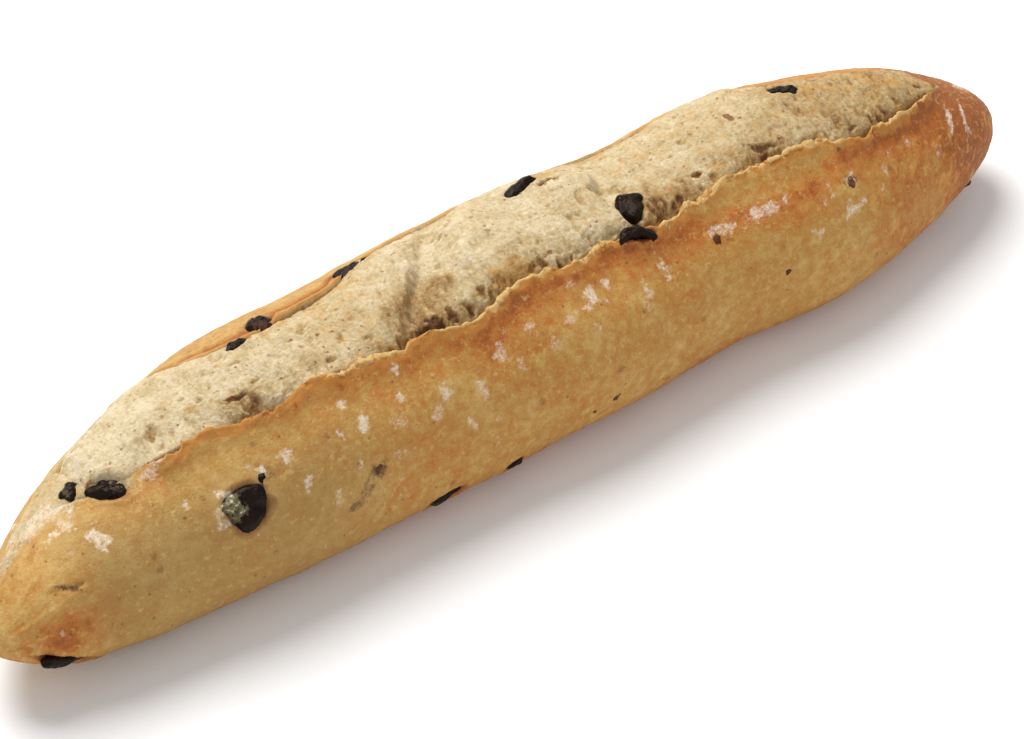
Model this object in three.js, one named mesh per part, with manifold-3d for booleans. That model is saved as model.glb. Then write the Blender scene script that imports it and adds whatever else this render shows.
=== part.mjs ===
// Olive baguette: a long loaf whose top has burst open along one cut, with black olives baked into it.
// Millimetres, +Z up. X runs along the loaf and -Y is the side with the raised lip of crust.
// The origin is the middle of the flat underside.
import * as THREE from "three";
import { mergeVertices } from "three/addons/utils/BufferGeometryUtils.js";
import Module from "manifold-3d";

// ---- Driving dimensions of the loaf ----
const LENGTH = 310;
const WIDTH = 70;
const HEIGHT = 47.5;
const WAIST = 0.407; // height of the widest level, as a share of HEIGHT
const SAG = 2.2; // how far the soft dough has spread onto its flat underside
const SAG_ROUNDING = 0.6;
// The underside stands on a few lowest spots, [x, y], and lies a few hundredths higher between them.
const RESTING_SPOTS = [
  [-84, -7],
  [80, -9],
  [-4, 15],
];
const UNDERSIDE_SLOPE = 0.003; // rise for each millimetre away from the nearest spot
const UNDERSIDE_RISE = 0.15; // the most it rises
const UNDERSIDE_FADE = 3; // height over which the rise fades out
const SIDE_TAPER = 3.4; // the higher the power, the blunter the two ends
const FOOT_TAPER = 4.5; // the same, for the underside that lifts off towards each tip
const TIP_DROOP = 0.1; // share of the waist's height that each tip hangs down
const TOP_ROUNDNESS = 2.15; // superellipse powers of the upper and the lower half of a section
const FOOT_ROUNDNESS = 2.7;

// Share of WIDTH at places along the loaf, from one tip (-1) to the other (1).
const FULLNESS = [
  [-1, 0.82],
  [-0.72, 0.876],
  [-0.5, 0.949],
  [-0.25, 0.94],
  [0, 0.963],
  [0.2, 0.936],
  [0.36, 0.91],
  [0.55, 1.01],
  [0.75, 0.943],
  [1, 0.88],
];
// Sideways drift of the middle line, in millimetres.
const BEND = [
  [-1, -10.1],
  [-0.9, -5.9],
  [-0.8, -2.7],
  [-0.65, 0.5],
  [-0.5, 2],
  [-0.25, 2.1],
  [0, 0.7],
  [0.5, -2],
  [0.75, -4.3],
  [1, -8],
];

// ---- The cut ----
// Angles go round a section in degrees: 0 is the -Y side, 90 the top, 180 the +Y side.
const CUT_START = -137;
const CUT_END = 140;
const CUT_FADE = 16; // length over which the cut opens at each end
const EAR_START = -112; // the near lip stands up from here on
const EAR_FADE = 9;
const NEAR_LIP = [
  [-145, 108],
  [-132, 108],
  [-128, 104],
  [-124, 98],
  [-120, 91],
  [-113, 84.5],
  [-102, 78],
  [-92, 74],
  [-82, 69.5],
  [-73, 68],
  [-65, 70],
  [-61, 69],
  [-50, 65.5],
  [-41, 63.5],
  [-35, 64.5],
  [-26, 63],
  [-18, 62],
  [-7, 66.5],
  [2, 67],
  [9, 64],
  [18, 67],
  [30, 64.5],
  [38, 63.5],
  [48, 65.5],
  [58, 67.5],
  [67, 67.5],
  [79, 68],
  [87, 68.5],
  [93, 64],
  [105, 62],
  [114, 64],
  [120, 66],
  [127.5, 70.5],
  [134, 77],
  [137.5, 83],
  [145, 86],
];
const FAR_LIP = [
  [-145, 124],
  [-132, 128],
  [-121, 133],
  [-108, 138],
  [-97, 140],
  [-91.5, 138.5],
  [-87.5, 132],
  [-84, 124.5],
  [-80, 118.5],
  [-72, 112],
  [-65, 108],
  [-54, 110],
  [-42, 113],
  [-34, 119],
  [-28, 124],
  [-5, 130],
  [50, 133],
  [84, 130],
  [97, 119],
  [118, 113],
  [128, 113],
  [131.5, 109.5],
  [134, 102],
  [136, 95],
  [138, 90.5],
  [145, 93],
];
// The raised near lip: the crust swells up to it over EAR_BASE degrees, and its edge hangs over the cut.
const EAR_BASE = 15;
const EAR_HEIGHT = 3.2;
const EAR_SWELL = [13, 9, 5.5, 2.8, 0.9]; // degrees before the lip's line where the mesh follows it
// The edge itself: [degrees from the lip's line, share of EAR_HEIGHT].
const EAR_EDGE = [
  [0, 0.78],
  [-1.2, 0.2],
];
const EAR_CLOSED = 0.08; // degrees between the edge's two columns where the lip doesn't stand up
const CREVICE_DEPTH = 1.3;
const CREVICE_WIDTH = 0.09; // as a share of the opening
// Places where the crumb has torn away from the near lip: [x, extra depth, half length].
// Where the depth is below 0, the crumb comes up beside the lip instead.
const TEARS = [
  [-99, -3, 12],
  [-79, 1.4, 6],
  [-58, -3, 11],
  [-28, 2.6, 10],
  [3, 0.9, 10],
  [38, 2.2, 6],
  [75, 1.6, 6],
  [122, 0.9, 12],
];
const CRUMB_BULGE = 2.4;
const CRUMB_ROUNDNESS = 0.6; // below 1 the bulge is broad, above 1 it is peaked
const FAR_GROOVE_DEPTH = 0.15;
const FAR_GROOVE_WIDTH = 0.06;
// The far lip is a low edge of crust that stands proudest about FLAP_X.
const FAR_LIP_HEIGHT = 0.4;
const FLAP_X = -52;
const FLAP_SPREAD = 22;
const FLAP_HEIGHT = 1.5;
const FLAP_BASE = 30; // degrees of crust that come up to the far lip
const FLAP_SWELL = [0.8, 7, 15]; // degrees past the lip's line where the mesh follows it
// The crumb rises as rolls, each lying over the start of the next.
// Where they meet: [x at the near lip, slant to the far lip, drop].
const ROLL_ENDS = [
  [-140, 0, 0],
  [-40, 32, 2.8],
  [30, 6, 2.4],
  [147, 0, 0],
];
const ROLL_RISE = 0.34; // share of a roll's length over which it comes up
const ROLL_END_HEIGHT = 0.3; // what is left of a roll's height at its end
const ROLL_FALL = 0.14; // share over which its end rounds off

// ---- Broad unevenness of the crust ----
const LUMP = 0.27;
const UNDERSIDE_CALM = 0.5; // how far round the tray has kept the underside even, as a rise in sine
// Dents: [x, angle, half length, half width in degrees, depth]. The first is the pinched end of the loaf.
const DENTS = [
  [-139, 24, 5, 16, 2.2],
  [-152, -35, 9, 40, 2.2],
  [148, 110, 11, 45, 1.2],
  [-128, 8, 9, 14, 0.9],
  [-60, 12, 14, 15, 0.7],
  [41, 150, 16, 18, 0.8],
  [20, 205, 22, 14, 0.9],
  [-96, 190, 16, 16, 1.0],
  [112, 186, 14, 18, 0.8],
];

// ---- Mesh ----
const STATIONS = 86;
const TIP_CROWDING = 0.7; // how much closer the stations lie towards the tips, from 0 to 1
const NEAR_COLUMNS = 12;
const CRUMB_COLUMNS = 9;
const FAR_COLUMNS = 13;
const UNDERSIDE = -90; // the angle at the middle of the underside
const CREVICE_START = 0.25; // columns in from the near lip to the bottom of the crevice
const FAR_GROOVE_START = 0.5; // degrees in from the far lip to the bottom of its groove
const SLOPE_STEP = 1.5; // degrees to each side over which the crust's slope is taken
const GAP = 0.3; // clearance between an olive and its pocket

// ---- Olives ----
// Pieces of olive: [x, angle, length, width, thickness, turn in degrees, sink below the surface].
const OLIVES = [
  [-91.6, 36.2, 10.8, 9.8, 5.2, 20, 1.4],
  [-116, 86.2, 9.2, 6, 4.4, -50, 1.3],
  [-122.8, 104, 5.6, 4.6, 4, 45, 1.2],
  [-140.5, -24, 15, 3, 4, -24, 1.5],
  [-70, 107, 6.4, 3.6, 4, 15, 0.9],
  [-60.9, 112.5, 6.6, 6.4, 4.5, -30, 1.2],
  [-30.6, 122, 11.6, 4.4, 3.8, 4, 0.9],
  [17.4, 115.6, 11.2, 4.2, 3.8, 12, 0.9],
  [35.4, 80, 9.4, 6.8, 6.5, 52, 1.3],
  [29.2, 63.8, 9.4, 3, 4, -18, 0.9],
  [93.8, 103.4, 7.6, 4, 3.2, -45, 0.8],
  [-39.6, -25, 10, 4, 4.6, 12, 1.5],
  [-20, -26, 5.4, 3, 4, 15, 1.3],
  [-104, 176, 11, 9, 6, 40, 1.6],
  [-2, 176, 9, 10, 6, -20, 1.7],
  [62, 193, 12, 7, 6, 15, 1.5],
  [118, 158, 8, 8, 5, 0, 1.3],
];
const LARGE_OLIVE = 9; // pieces at least this long get a finer mesh
// Small bits of olive that the crust has closed round: [x, angle, length, width, turn].
const BITS = [
  [-85.3, 45.7, 3.8, 3.2, 30],
  [-58, 22, 3, 2.2, 40],
  [3, -10, 2.6, 1.8, 60],
  [9.5, -7, 3.4, 1.9, 35],
  [49, 46.5, 3, 2.2, 80],
  [65, 15, 2, 1.7, 0],
  [91, 45, 3.4, 2.6, 70],
  [135, -24, 4.2, 2.4, 0],
  [-76, 186, 5, 3, 30],
  [-38, 168, 4, 3.4, 0],
  [33, 184, 5.4, 2.8, -50],
  [88, 172, 3.6, 3, 20],
];
const BIT_THICKNESS = 2.6;
const SQUARENESS = 0.82; // 1 is an ellipsoid, less is closer to a block
const WOBBLE = 0.07; // unevenness of an olive's outline
const BIT_SINK = 0.75;

// ---- Materials ----
const CRUST = new THREE.MeshStandardMaterial({ color: 0xc8924a, roughness: 0.75, metalness: 0 });
const OLIVE = new THREE.MeshStandardMaterial({ color: 0x1d1716, roughness: 0.35, metalness: 0 });

// ---- Helpers ----
const rad = THREE.MathUtils.degToRad;
const clamp01 = (t) => Math.min(1, Math.max(0, t));
const bell = (t) => Math.exp(-t * t);
const smooth = (t) => THREE.MathUtils.smoothstep(t, 0, 1);

// A smooth curve y(x) through knots, level outside the first and the last (Catmull-Rom slopes between them).
function through(knots) {
  const last = knots.length - 1;
  const slope = (i) => {
    const a = knots[Math.max(i - 1, 0)];
    const b = knots[Math.min(i + 1, last)];
    return (b[1] - a[1]) / (b[0] - a[0]);
  };
  return (x) => {
    if (x <= knots[0][0]) return knots[0][1];
    if (x >= knots[last][0]) return knots[last][1];
    const i = knots.findIndex((k) => k[0] > x) - 1;
    const [x0, y0] = knots[i];
    const [x1, y1] = knots[i + 1];
    const h = x1 - x0;
    const t = (x - x0) / h;
    const a = y0 * (1 + 2 * t) + slope(i) * h * t;
    const b = y1 * (3 - 2 * t) - slope(i + 1) * h * (1 - t);
    return a * (1 - t) ** 2 + b * t ** 2;
  };
}

const fullness = through(FULLNESS);
const bend = through(BEND);
const nearLip = through(NEAR_LIP);
const farLip = through(FAR_LIP);

// ---- The plain loaf ----
function sectionSize(x) {
  const s = x / (LENGTH / 2);
  const reach = Math.abs(s);
  const taper = Math.sqrt(Math.max(1 - reach ** SIDE_TAPER, 0));
  const lift = Math.sqrt(Math.max(1 - reach ** FOOT_TAPER, 0));
  const waist = WAIST * HEIGHT * (1 - TIP_DROOP * s * s);
  return {
    middle: bend(s),
    waist,
    half: (WIDTH / 2) * fullness(s) * taper,
    above: (1 - WAIST) * HEIGHT * taper * (1 + fullness(s)) * 0.5,
    below: (waist + SAG) * lift,
  };
}

// A height pressed flat where it would lie below the table, with a small rounding at the edge of the flat.
function pressed(z) {
  if (z >= SAG_ROUNDING) return z;
  return z <= -SAG_ROUNDING ? 0 : (z + SAG_ROUNDING) ** 2 / (4 * SAG_ROUNDING);
}

function plainPoint(x, angle) {
  const { middle, waist, half, above, below } = sectionSize(x);
  const c = Math.cos(rad(angle));
  const s = Math.sin(rad(angle));
  const power = s >= 0 ? TOP_ROUNDNESS : FOOT_ROUNDNESS;
  const r = (Math.abs(c) ** power + Math.abs(s) ** power) ** (-1 / power);
  return new THREE.Vector2(middle - half * c * r, waist + (s >= 0 ? above : below) * s * r);
}

// The way out of the crust, within the section's plane.
function outward(x, angle) {
  const along = plainPoint(x, angle + SLOPE_STEP).sub(plainPoint(x, angle - SLOPE_STEP)).normalize();
  return new THREE.Vector2(-along.y, along.x);
}

// The point that lies height above the plain crust.
function surfacePoint(x, angle, height) {
  const p = plainPoint(x, angle).addScaledVector(outward(x, angle), height);
  return new THREE.Vector3(x, p.x, pressed(p.y));
}

// ---- Relief ----
// 0 where the crust is whole, 1 where the cut is fully open.
function openness(x) {
  return smooth((x - CUT_START) / CUT_FADE) * smooth((CUT_END - x) / CUT_FADE);
}

// 0 where the near lip lies flat, 1 where it is fully raised.
function earOpenness(x) {
  return smooth((x - EAR_START) / EAR_FADE) * smooth((CUT_END - x) / CUT_FADE);
}

function crustRelief(x, angle) {
  const a = rad(angle);
  const tips = Math.sqrt(clamp01(1 - Math.abs(x) / (LENGTH / 2)));
  const underside = smooth((1 + Math.sin(a)) / UNDERSIDE_CALM);
  const slow = Math.sin(x / 11 + 2.1 * Math.sin(a)) + Math.sin(x / 19 - 3 * a + 1.3);
  const lumps = slow + Math.sin(x / 7.3 + 2 * a);
  const dents = DENTS.reduce(
    (sum, [dx, dAngle, length, width, depth]) =>
      sum + depth * bell((x - dx) / length) * bell((angle - dAngle) / width),
    0,
  );
  return LUMP * tips * underside * lumps - dents;
}

function creviceDepth(x) {
  return TEARS.reduce((sum, [tx, extra, half]) => sum + extra * bell((x - tx) / half), CREVICE_DEPTH);
}

function earHeight(x, before) {
  return earOpenness(x) * EAR_HEIGHT * clamp01(1 - before / EAR_BASE) ** 2;
}

function flapHeight(x, past) {
  const proud = FAR_LIP_HEIGHT + FLAP_HEIGHT * bell((x - FLAP_X) / FLAP_SPREAD);
  return openness(x) * proud * clamp01(1 - past / FLAP_BASE) ** 2;
}

// How high the roll under x stands, from -drop at its start to 1 on its back. across goes from 0 to 1.
function rollHeight(x, across) {
  const ends = ROLL_ENDS.map(([ex, slant]) => ex + slant * across);
  const i = Math.min(Math.max(ends.findIndex((e) => e > x) - 1, 0), ROLL_ENDS.length - 2);
  const q = clamp01((x - ends[i]) / (ends[i + 1] - ends[i]));
  const start = -ROLL_ENDS[i][2] / CRUMB_BULGE;
  const risen = start + (1 - start) * smooth(q / ROLL_RISE);
  const fallen = clamp01((q - 1 + ROLL_FALL) / ROLL_FALL);
  return ROLL_ENDS[i + 1][2] ? THREE.MathUtils.lerp(risen, ROLL_END_HEIGHT, fallen ** 2) : risen;
}

function crumbRelief(x, across) {
  const dome = (4 * across * (1 - across)) ** CRUMB_ROUNDNESS;
  const near = earOpenness(x) * creviceDepth(x) * bell(across / CREVICE_WIDTH);
  const far = FAR_GROOVE_DEPTH * bell((1 - across) / FAR_GROOVE_WIDTH);
  return openness(x) * (CRUMB_BULGE * dome * rollHeight(x, across) - near - far);
}

// How high the surface lies above the plain loaf.
function relief(x, angle) {
  const near = nearLip(x);
  const far = farLip(x);
  let rise = earHeight(x, near - angle);
  if (angle > far) rise = flapHeight(x, angle - far);
  else if (angle > near) rise = crumbRelief(x, (angle - near) / (far - near));
  return crustRelief(x, angle) + rise;
}

// ---- The loaf's mesh ----
// One section as [angle, height] pairs, once round from the middle of the underside.
function sectionColumns(x) {
  const near = nearLip(x);
  const far = farLip(x);
  const columns = [];
  const follow = (angle) => columns.push([angle, relief(x, angle)]);
  const spread = (from, to, count, start) => {
    for (let i = start; i < count; i++) follow(from + ((to - from) * i) / count);
  };
  spread(UNDERSIDE, near - EAR_SWELL[0], NEAR_COLUMNS, 0);
  for (const before of EAR_SWELL) follow(near - before);
  const raised = earOpenness(x);
  EAR_EDGE.forEach(([turn, share], i) => {
    const angle = near + THREE.MathUtils.lerp(EAR_CLOSED * i, turn, raised);
    columns.push([angle, crustRelief(x, near) + raised * EAR_HEIGHT * share]);
  });
  spread(near, far, CRUMB_COLUMNS, CREVICE_START);
  follow(far - FAR_GROOVE_START);
  for (const past of FLAP_SWELL) follow(far + past);
  spread(far + FLAP_SWELL.at(-1), UNDERSIDE + 360, FAR_COLUMNS, 1);
  return columns;
}

function stationX(i) {
  const t = (2 * i) / STATIONS - 1;
  return (LENGTH / 2) * ((1 - TIP_CROWDING) * t + TIP_CROWDING * Math.sin((Math.PI / 2) * t));
}

// Raises the underside's points, all but the ones nearest to the resting spots.
function standOnSpots(points) {
  const away = (p, x, y) => Math.hypot(p.x - x, p.y - y);
  const flat = points.filter((p) => p.z === 0);
  const lowest = RESTING_SPOTS.map(([x, y]) =>
    flat.reduce((best, p) => (away(p, x, y) < away(best, x, y) ? p : best)).clone(),
  );
  for (const p of points) {
    const nearest = Math.min(...lowest.map((spot) => away(p, spot.x, spot.y)));
    const rise = Math.min(UNDERSIDE_RISE, UNDERSIDE_SLOPE * nearest);
    p.z += rise * (1 - smooth(p.z / UNDERSIDE_FADE));
  }
}

// Sections joined by quads and closed by a fan at each tip.
function loafGeometry() {
  const rings = [];
  for (let i = 1; i < STATIONS; i++) {
    const x = stationX(i);
    rings.push(sectionColumns(x).map(([angle, height]) => surfacePoint(x, angle, height)));
  }
  const n = rings[0].length;
  const tip = (x) => new THREE.Vector3(x, bend(Math.sign(x)), WAIST * HEIGHT * (1 - TIP_DROOP));
  const points = [...rings.flat(), tip(-LENGTH / 2), tip(LENGTH / 2)];
  standOnSpots(points);
  const first = points.length - 2;
  const index = [];
  for (let j = 0; j < n; j++) {
    const k = (j + 1) % n;
    index.push(first, j, k);
    index.push(first + 1, (rings.length - 1) * n + k, (rings.length - 1) * n + j);
    for (let i = 0; i + 1 < rings.length; i++) {
      const a = i * n;
      const b = a + n;
      index.push(a + j, b + j, a + k, b + j, b + k, a + k);
    }
  }
  return new THREE.BufferGeometry().setFromPoints(points).setIndex(index);
}

// ---- Olives ----
// A frame on the crust: its X along the loaf turned by turn, its Z out of the crust.
function frameOn(x, angle, turn, sink) {
  const n = outward(x, angle);
  const zAxis = new THREE.Vector3(0, n.x, n.y);
  const xAxis = new THREE.Vector3(1, 0, 0);
  const yAxis = new THREE.Vector3().crossVectors(zAxis, xAxis);
  return new THREE.Matrix4()
    .makeBasis(xAxis, yAxis, zAxis)
    .setPosition(surfacePoint(x, angle, relief(x, angle) - sink))
    .multiply(new THREE.Matrix4().makeRotationZ(rad(turn)));
}

// An uneven, slightly squared lump of the given size.
function lumpGeometry(length, width, thickness, detail, phase) {
  const g = new THREE.IcosahedronGeometry(1, detail);
  const position = g.attributes.position;
  const p = new THREE.Vector3();
  for (let i = 0; i < position.count; i++) {
    p.fromBufferAttribute(position, i);
    const wave = Math.sin(3.1 * p.x + phase) * Math.cos(2.7 * p.y - phase) + Math.sin(2.3 * p.z + 2 * phase);
    const squared = [p.x, p.y, p.z].map((v) => Math.sign(v) * Math.abs(v) ** SQUARENESS);
    p.fromArray(squared).multiplyScalar((1 + WOBBLE * wave) / 2);
    position.setXYZ(i, p.x * length, p.y * width, p.z * thickness);
  }
  g.deleteAttribute("normal");
  g.deleteAttribute("uv");
  return mergeVertices(g, 1e-4);
}

const oliveDetail = (length) => (length >= LARGE_OLIVE ? 2 : 1);

function oliveMesh([x, angle, length, width, thickness, turn, sink], i) {
  const mesh = new THREE.Mesh(lumpGeometry(length, width, thickness, oliveDetail(length), i), OLIVE);
  mesh.name = "olive_" + String(i + 1).padStart(2, "0");
  mesh.applyMatrix4(frameOn(x, angle, turn, sink));
  return mesh;
}

function pocketGeometry([x, angle, length, width, thickness, turn, sink], i) {
  const room = 2 * GAP;
  const g = lumpGeometry(length + room, width + room, thickness + room, oliveDetail(length), i);
  return g.applyMatrix4(frameOn(x, angle, turn, sink));
}

function bitGeometry([x, angle, length, width, turn], i) {
  const g = lumpGeometry(length, width, BIT_THICKNESS, 0, 20 + i);
  return g.applyMatrix4(frameOn(x, angle, turn, BIT_SINK));
}

// ---- Joining and cutting ----
const wasm = await Module();
wasm.setup();

function solidOf(geometry) {
  return new wasm.Manifold(
    new wasm.Mesh({
      numProp: 3,
      vertProperties: new Float32Array(geometry.attributes.position.array),
      triVerts: new Uint32Array(geometry.index.array),
    }),
  );
}

function geometryOf(solid) {
  const { vertProperties, triVerts } = solid.getMesh();
  return new THREE.BufferGeometry()
    .setAttribute("position", new THREE.BufferAttribute(vertProperties, 3))
    .setIndex(new THREE.BufferAttribute(triVerts, 1));
}

function makeLoaf() {
  let solid = solidOf(loafGeometry());
  for (const bit of BITS.map(bitGeometry)) solid = solid.add(solidOf(bit));
  for (const pocket of OLIVES.map(pocketGeometry)) solid = solid.subtract(solidOf(pocket));
  const geometry = geometryOf(solid);
  geometry.computeVertexNormals();
  const mesh = new THREE.Mesh(geometry, CRUST);
  mesh.name = "loaf";
  return mesh;
}

const baguette = new THREE.Group();
baguette.name = "olive_baguette";
baguette.add(makeLoaf(), ...OLIVES.map(oliveMesh));

export default baguette;
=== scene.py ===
"""Olive baguette: a long loaf whose top has burst open along one cut, with black olives baked into it.

The crust, the crumb that shows in the cut and the olives are meshes built over the frame's solids, in
millimetres and then scaled to metres. X runs along the loaf, -Y is the side with the raised lip, Z is up.
Angles go round a section in degrees: 0 is the -Y side, 90 the top, 180 the +Y side.
"""

import math

import bmesh
import bpy
import numpy as np
from mathutils import Matrix, Vector


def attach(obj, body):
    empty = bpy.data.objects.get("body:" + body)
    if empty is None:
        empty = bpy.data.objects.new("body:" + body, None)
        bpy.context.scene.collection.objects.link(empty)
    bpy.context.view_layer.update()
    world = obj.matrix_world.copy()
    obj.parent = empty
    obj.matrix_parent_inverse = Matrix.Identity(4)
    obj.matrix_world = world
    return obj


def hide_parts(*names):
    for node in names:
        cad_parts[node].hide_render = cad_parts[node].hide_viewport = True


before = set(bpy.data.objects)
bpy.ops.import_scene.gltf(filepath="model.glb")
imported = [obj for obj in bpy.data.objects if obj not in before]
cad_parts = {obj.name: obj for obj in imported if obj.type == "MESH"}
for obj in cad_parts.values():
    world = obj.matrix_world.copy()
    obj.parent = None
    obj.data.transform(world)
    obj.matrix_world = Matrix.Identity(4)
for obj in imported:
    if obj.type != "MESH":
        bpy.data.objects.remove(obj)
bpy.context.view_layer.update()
MM = 0.001

# ---- The loaf, as the frame's solid has it ----
LENGTH = 310
WIDTH = 70
HEIGHT = 47.5
WAIST = 0.407  # height of the widest level, as a share of HEIGHT
SAG = 2.2  # how far the dough has spread onto its flat underside
SAG_ROUNDING = 0.6
SIDE_TAPER = 3.4
FOOT_TAPER = 4.5
TIP_DROOP = 0.1
TOP_ROUNDNESS = 2.15
FOOT_ROUNDNESS = 2.7
# Share of WIDTH at places along the loaf, from one tip (-1) to the other (1).
FULLNESS = [
    (-1, 0.82), (-0.72, 0.876), (-0.5, 0.949), (-0.25, 0.94), (0, 0.963), (0.2, 0.936), (0.36, 0.91),
    (0.55, 1.01), (0.75, 0.943), (1, 0.88),
]
# Sideways drift of the middle line.
BEND = [
    (-1, -10.1), (-0.9, -5.9), (-0.8, -2.7), (-0.65, 0.5), (-0.5, 2), (-0.25, 2.1), (0, 0.7), (0.5, -2),
    (0.75, -4.3), (1, -8),
]
LUMP = 0.27
UNDERSIDE_CALM = 0.5
# Dents: (x, angle, half length, half width in degrees, depth).
DENTS = [
    (-139, 24, 5, 16, 2.2), (-152, -35, 9, 40, 2.2), (148, 110, 11, 45, 1.2), (-128, 8, 9, 14, 0.9),
    (-60, 12, 14, 15, 0.7), (41, 150, 16, 18, 0.8), (20, 205, 22, 14, 0.9), (-96, 190, 16, 16, 1.0),
    (112, 186, 14, 18, 0.8),
]

# ---- The cut ----
CUT_START = -137
CUT_END = 140
CUT_FADE = 16
EAR_START = -112  # the near lip stands up from here on
EAR_FADE = 9
TROUGH_START = -123  # to the left of it the crust closes over, and only its colour shows the cut
CRUMB_COLOUR_START = -153  # where that colour begins
NEAR_LIP = [
    (-145, 108), (-132, 108), (-128, 104), (-124, 98), (-120, 91), (-113, 84.5), (-102, 78), (-92, 74),
    (-82, 69.5), (-73, 68), (-65, 70), (-61, 69), (-50, 65.5), (-41, 63.5), (-35, 64.5), (-26, 63),
    (-18, 62), (-7, 66.5), (2, 67), (9, 64), (18, 67), (30, 64.5), (38, 63.5), (48, 65.5), (58, 67.5),
    (67, 67.5), (79, 68), (87, 68.5), (93, 64), (105, 62), (114, 64), (120, 66), (127.5, 70.5), (134, 77),
    (137.5, 83), (145, 86),
]
FAR_LIP = [
    (-145, 124), (-132, 128), (-121, 133), (-108, 138), (-97, 140), (-91.5, 138.5), (-87.5, 132),
    (-84, 124.5), (-80, 118.5), (-72, 112), (-65, 108), (-54, 110), (-42, 113), (-34, 119), (-28, 124),
    (-5, 130), (50, 133), (84, 130), (97, 119), (118, 113), (128, 113), (131.5, 109.5), (134, 102),
    (136, 95), (138, 90.5), (145, 93),
]
EAR_BASE = 15  # degrees of crust that swell up to the near lip
EAR_HEIGHT = 3.2
EAR_CURVE = 2.2  # how late over its base the crust swells up
EAR_ROUNDING = 0.14  # share of the height by which the lip's crest is rounded off
EAR_ROUNDING_WIDTH = 1.1
# The ear's edge: (distance past the lip, share of its height, crumb-coloured share).
EAR_EDGE = [
    (0, 0.86, 0), (0.22, 0.8, 0), (0.36, 0.68, 0.3), (0.36, 0.54, 0.8), (0.15, 0.34, 1), (-0.2, 0.08, 1),
]
# Its inner face: (distance past the lip, share of the trough's depth).
EAR_INSIDE = [(-0.45, 0.25), (-0.1, 0.7), (0.6, 1)]
TROUGH_DEPTH = 4.5
# The far lip's edge: (distance past the lip, share of the trough's depth, share of the lip's height,
# crumb-coloured share).
FAR_EDGE = [(-0.5, 1, 0, 1), (-0.35, 0.4, 0, 1), (-0.1, 0, 0.35, 0.7), (0.25, 0, 0.85, 0.2)]
FAR_EDGE_WIDTH = 0.9
CREVICE_DEPTH = 1.3
CREVICE_WIDTH = 0.09
# Places where the crumb has torn away from the near lip: (x, extra depth, half length).
# Where the depth is below 0, the crumb comes up beside the lip instead.
TEARS = [
    (-99, -3, 12), (-79, 1.4, 6), (-58, -3, 11), (-28, 2.6, 10), (3, 0.9, 10), (38, 2.2, 6), (75, 1.6, 6),
    (122, 0.9, 12),
]
CRUMB_BULGE = 2.4
CRUMB_ROUNDNESS = 0.6
FAR_GROOVE_DEPTH = 0.15
FAR_GROOVE_WIDTH = 0.06
FAR_LIP_HEIGHT = 0.4
FLAP_X = -52
FLAP_SPREAD = 22
FLAP_HEIGHT = 1.5
FLAP_BASE = 30
FOLD_DEPTH = 0.8  # of the fold that runs along the flap
FOLD_PLACE = 2.6  # how far past the far lip it runs
FOLD_WIDTH = 0.9
# Where one roll of crumb ends and the next begins: (x at the near lip, slant to the far lip, drop).
ROLL_ENDS = [(-140, 0, 0), (-40, 32, 2.8), (30, 6, 2.4), (147, 0, 0)]
ROLL_RISE = 0.34
ROLL_END_HEIGHT = 0.3
ROLL_FALL = 0.14
ROLL_EDGE = 3.2  # length over which one roll drops to the next

# How dark the crust is baked beside the near lip, at places along it.
LIP_TOAST = [
    (-112, 0.5), (-95, 0.75), (-84, 0.85), (-72, 0.85), (-62, 0.75), (-52, 0.65), (-42, 0.8), (-30, 0.85),
    (-14, 0.8), (0, 0.85), (14, 0.95), (30, 1.0), (45, 0.9), (60, 0.9), (80, 0.85), (93, 0.8), (108, 0.75),
    (125, 0.6), (140, 0.4),
]
# How far below the near lip that dark band runs, at places along it.
TOAST_PLACE = [
    (-112, 0.8), (-95, 1.0), (-60, 1.4), (-50, 2.2), (-33, 2.7), (-8, 3), (2, 2.7), (27, 2.4), (38, 3.3),
    (52, 6.5), (67, 10), (80, 9), (93, 4.2), (108, 2), (120, 2.5), (140, 2.5),
]
# How thickly torn crumb clings to the near lip, in millimetres, at places along it.
LIP_CRUMBS = [
    (-112, 0.05), (-95, 0.1), (-80, 0.12), (-66, 0.15), (-60, 0.35), (-55, 0.5), (-48, 0.6), (-43, 0.4),
    (-39, 0.25), (-25, 0.3), (-18, 0.45), (-10, 0.6), (-1, 0.5), (5, 0.3), (10, 0.25), (14, 0.5), (20, 0.6),
    (24, 0.3), (26, 0.05), (33, 0.05), (37, 0.4), (46, 0.6), (55, 0.5), (65, 0.45), (76, 0.5), (85, 0.45),
    (91, 0.3), (100, 0.2), (110, 0.35), (118, 0.4), (127, 0.35), (135, 0.1),
]
# Noise, layer by layer: (size, amount, seed).
CRUMPLES = [(2.8, 0.2, 27), (1.4, 0.16, 28), (0.75, 0.12, 29)]
ROLL_RAGGEDNESS = [(7, 2.6, 19), (2.6, 1.1, 23)]
TEARING = [(9, 0.4, 17), (3.5, 0.3, 18)]
LIP_RAGGEDNESS = [(11, 0.9, 85), (4.6, 1.2, 81), (1.9, 0.45, 86)]
LIP_UNEVENNESS = [(8, 0.3, 87), (3.3, 0.26, 89), (1.6, 0.14, 90)]
LIP_CLUMPS = [(4.6, 1.6, 161), (1.9, 1.1, 162)]
CLUMP_ROUGHNESS = [(1.5, 0.7, 163), (0.75, 0.5, 164), (0.4, 0.25, 165)]
STRAND_SHARE = 0.8  # of the thickness in LIP_CRUMBS that the strand of crumbs has
STRAND_FLATNESS = 1.5  # how much wider than high it is
TUCK_NEAR = 1.1  # how far the crumb runs in under the near lip
TUCK_FAR = 1.2
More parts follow.
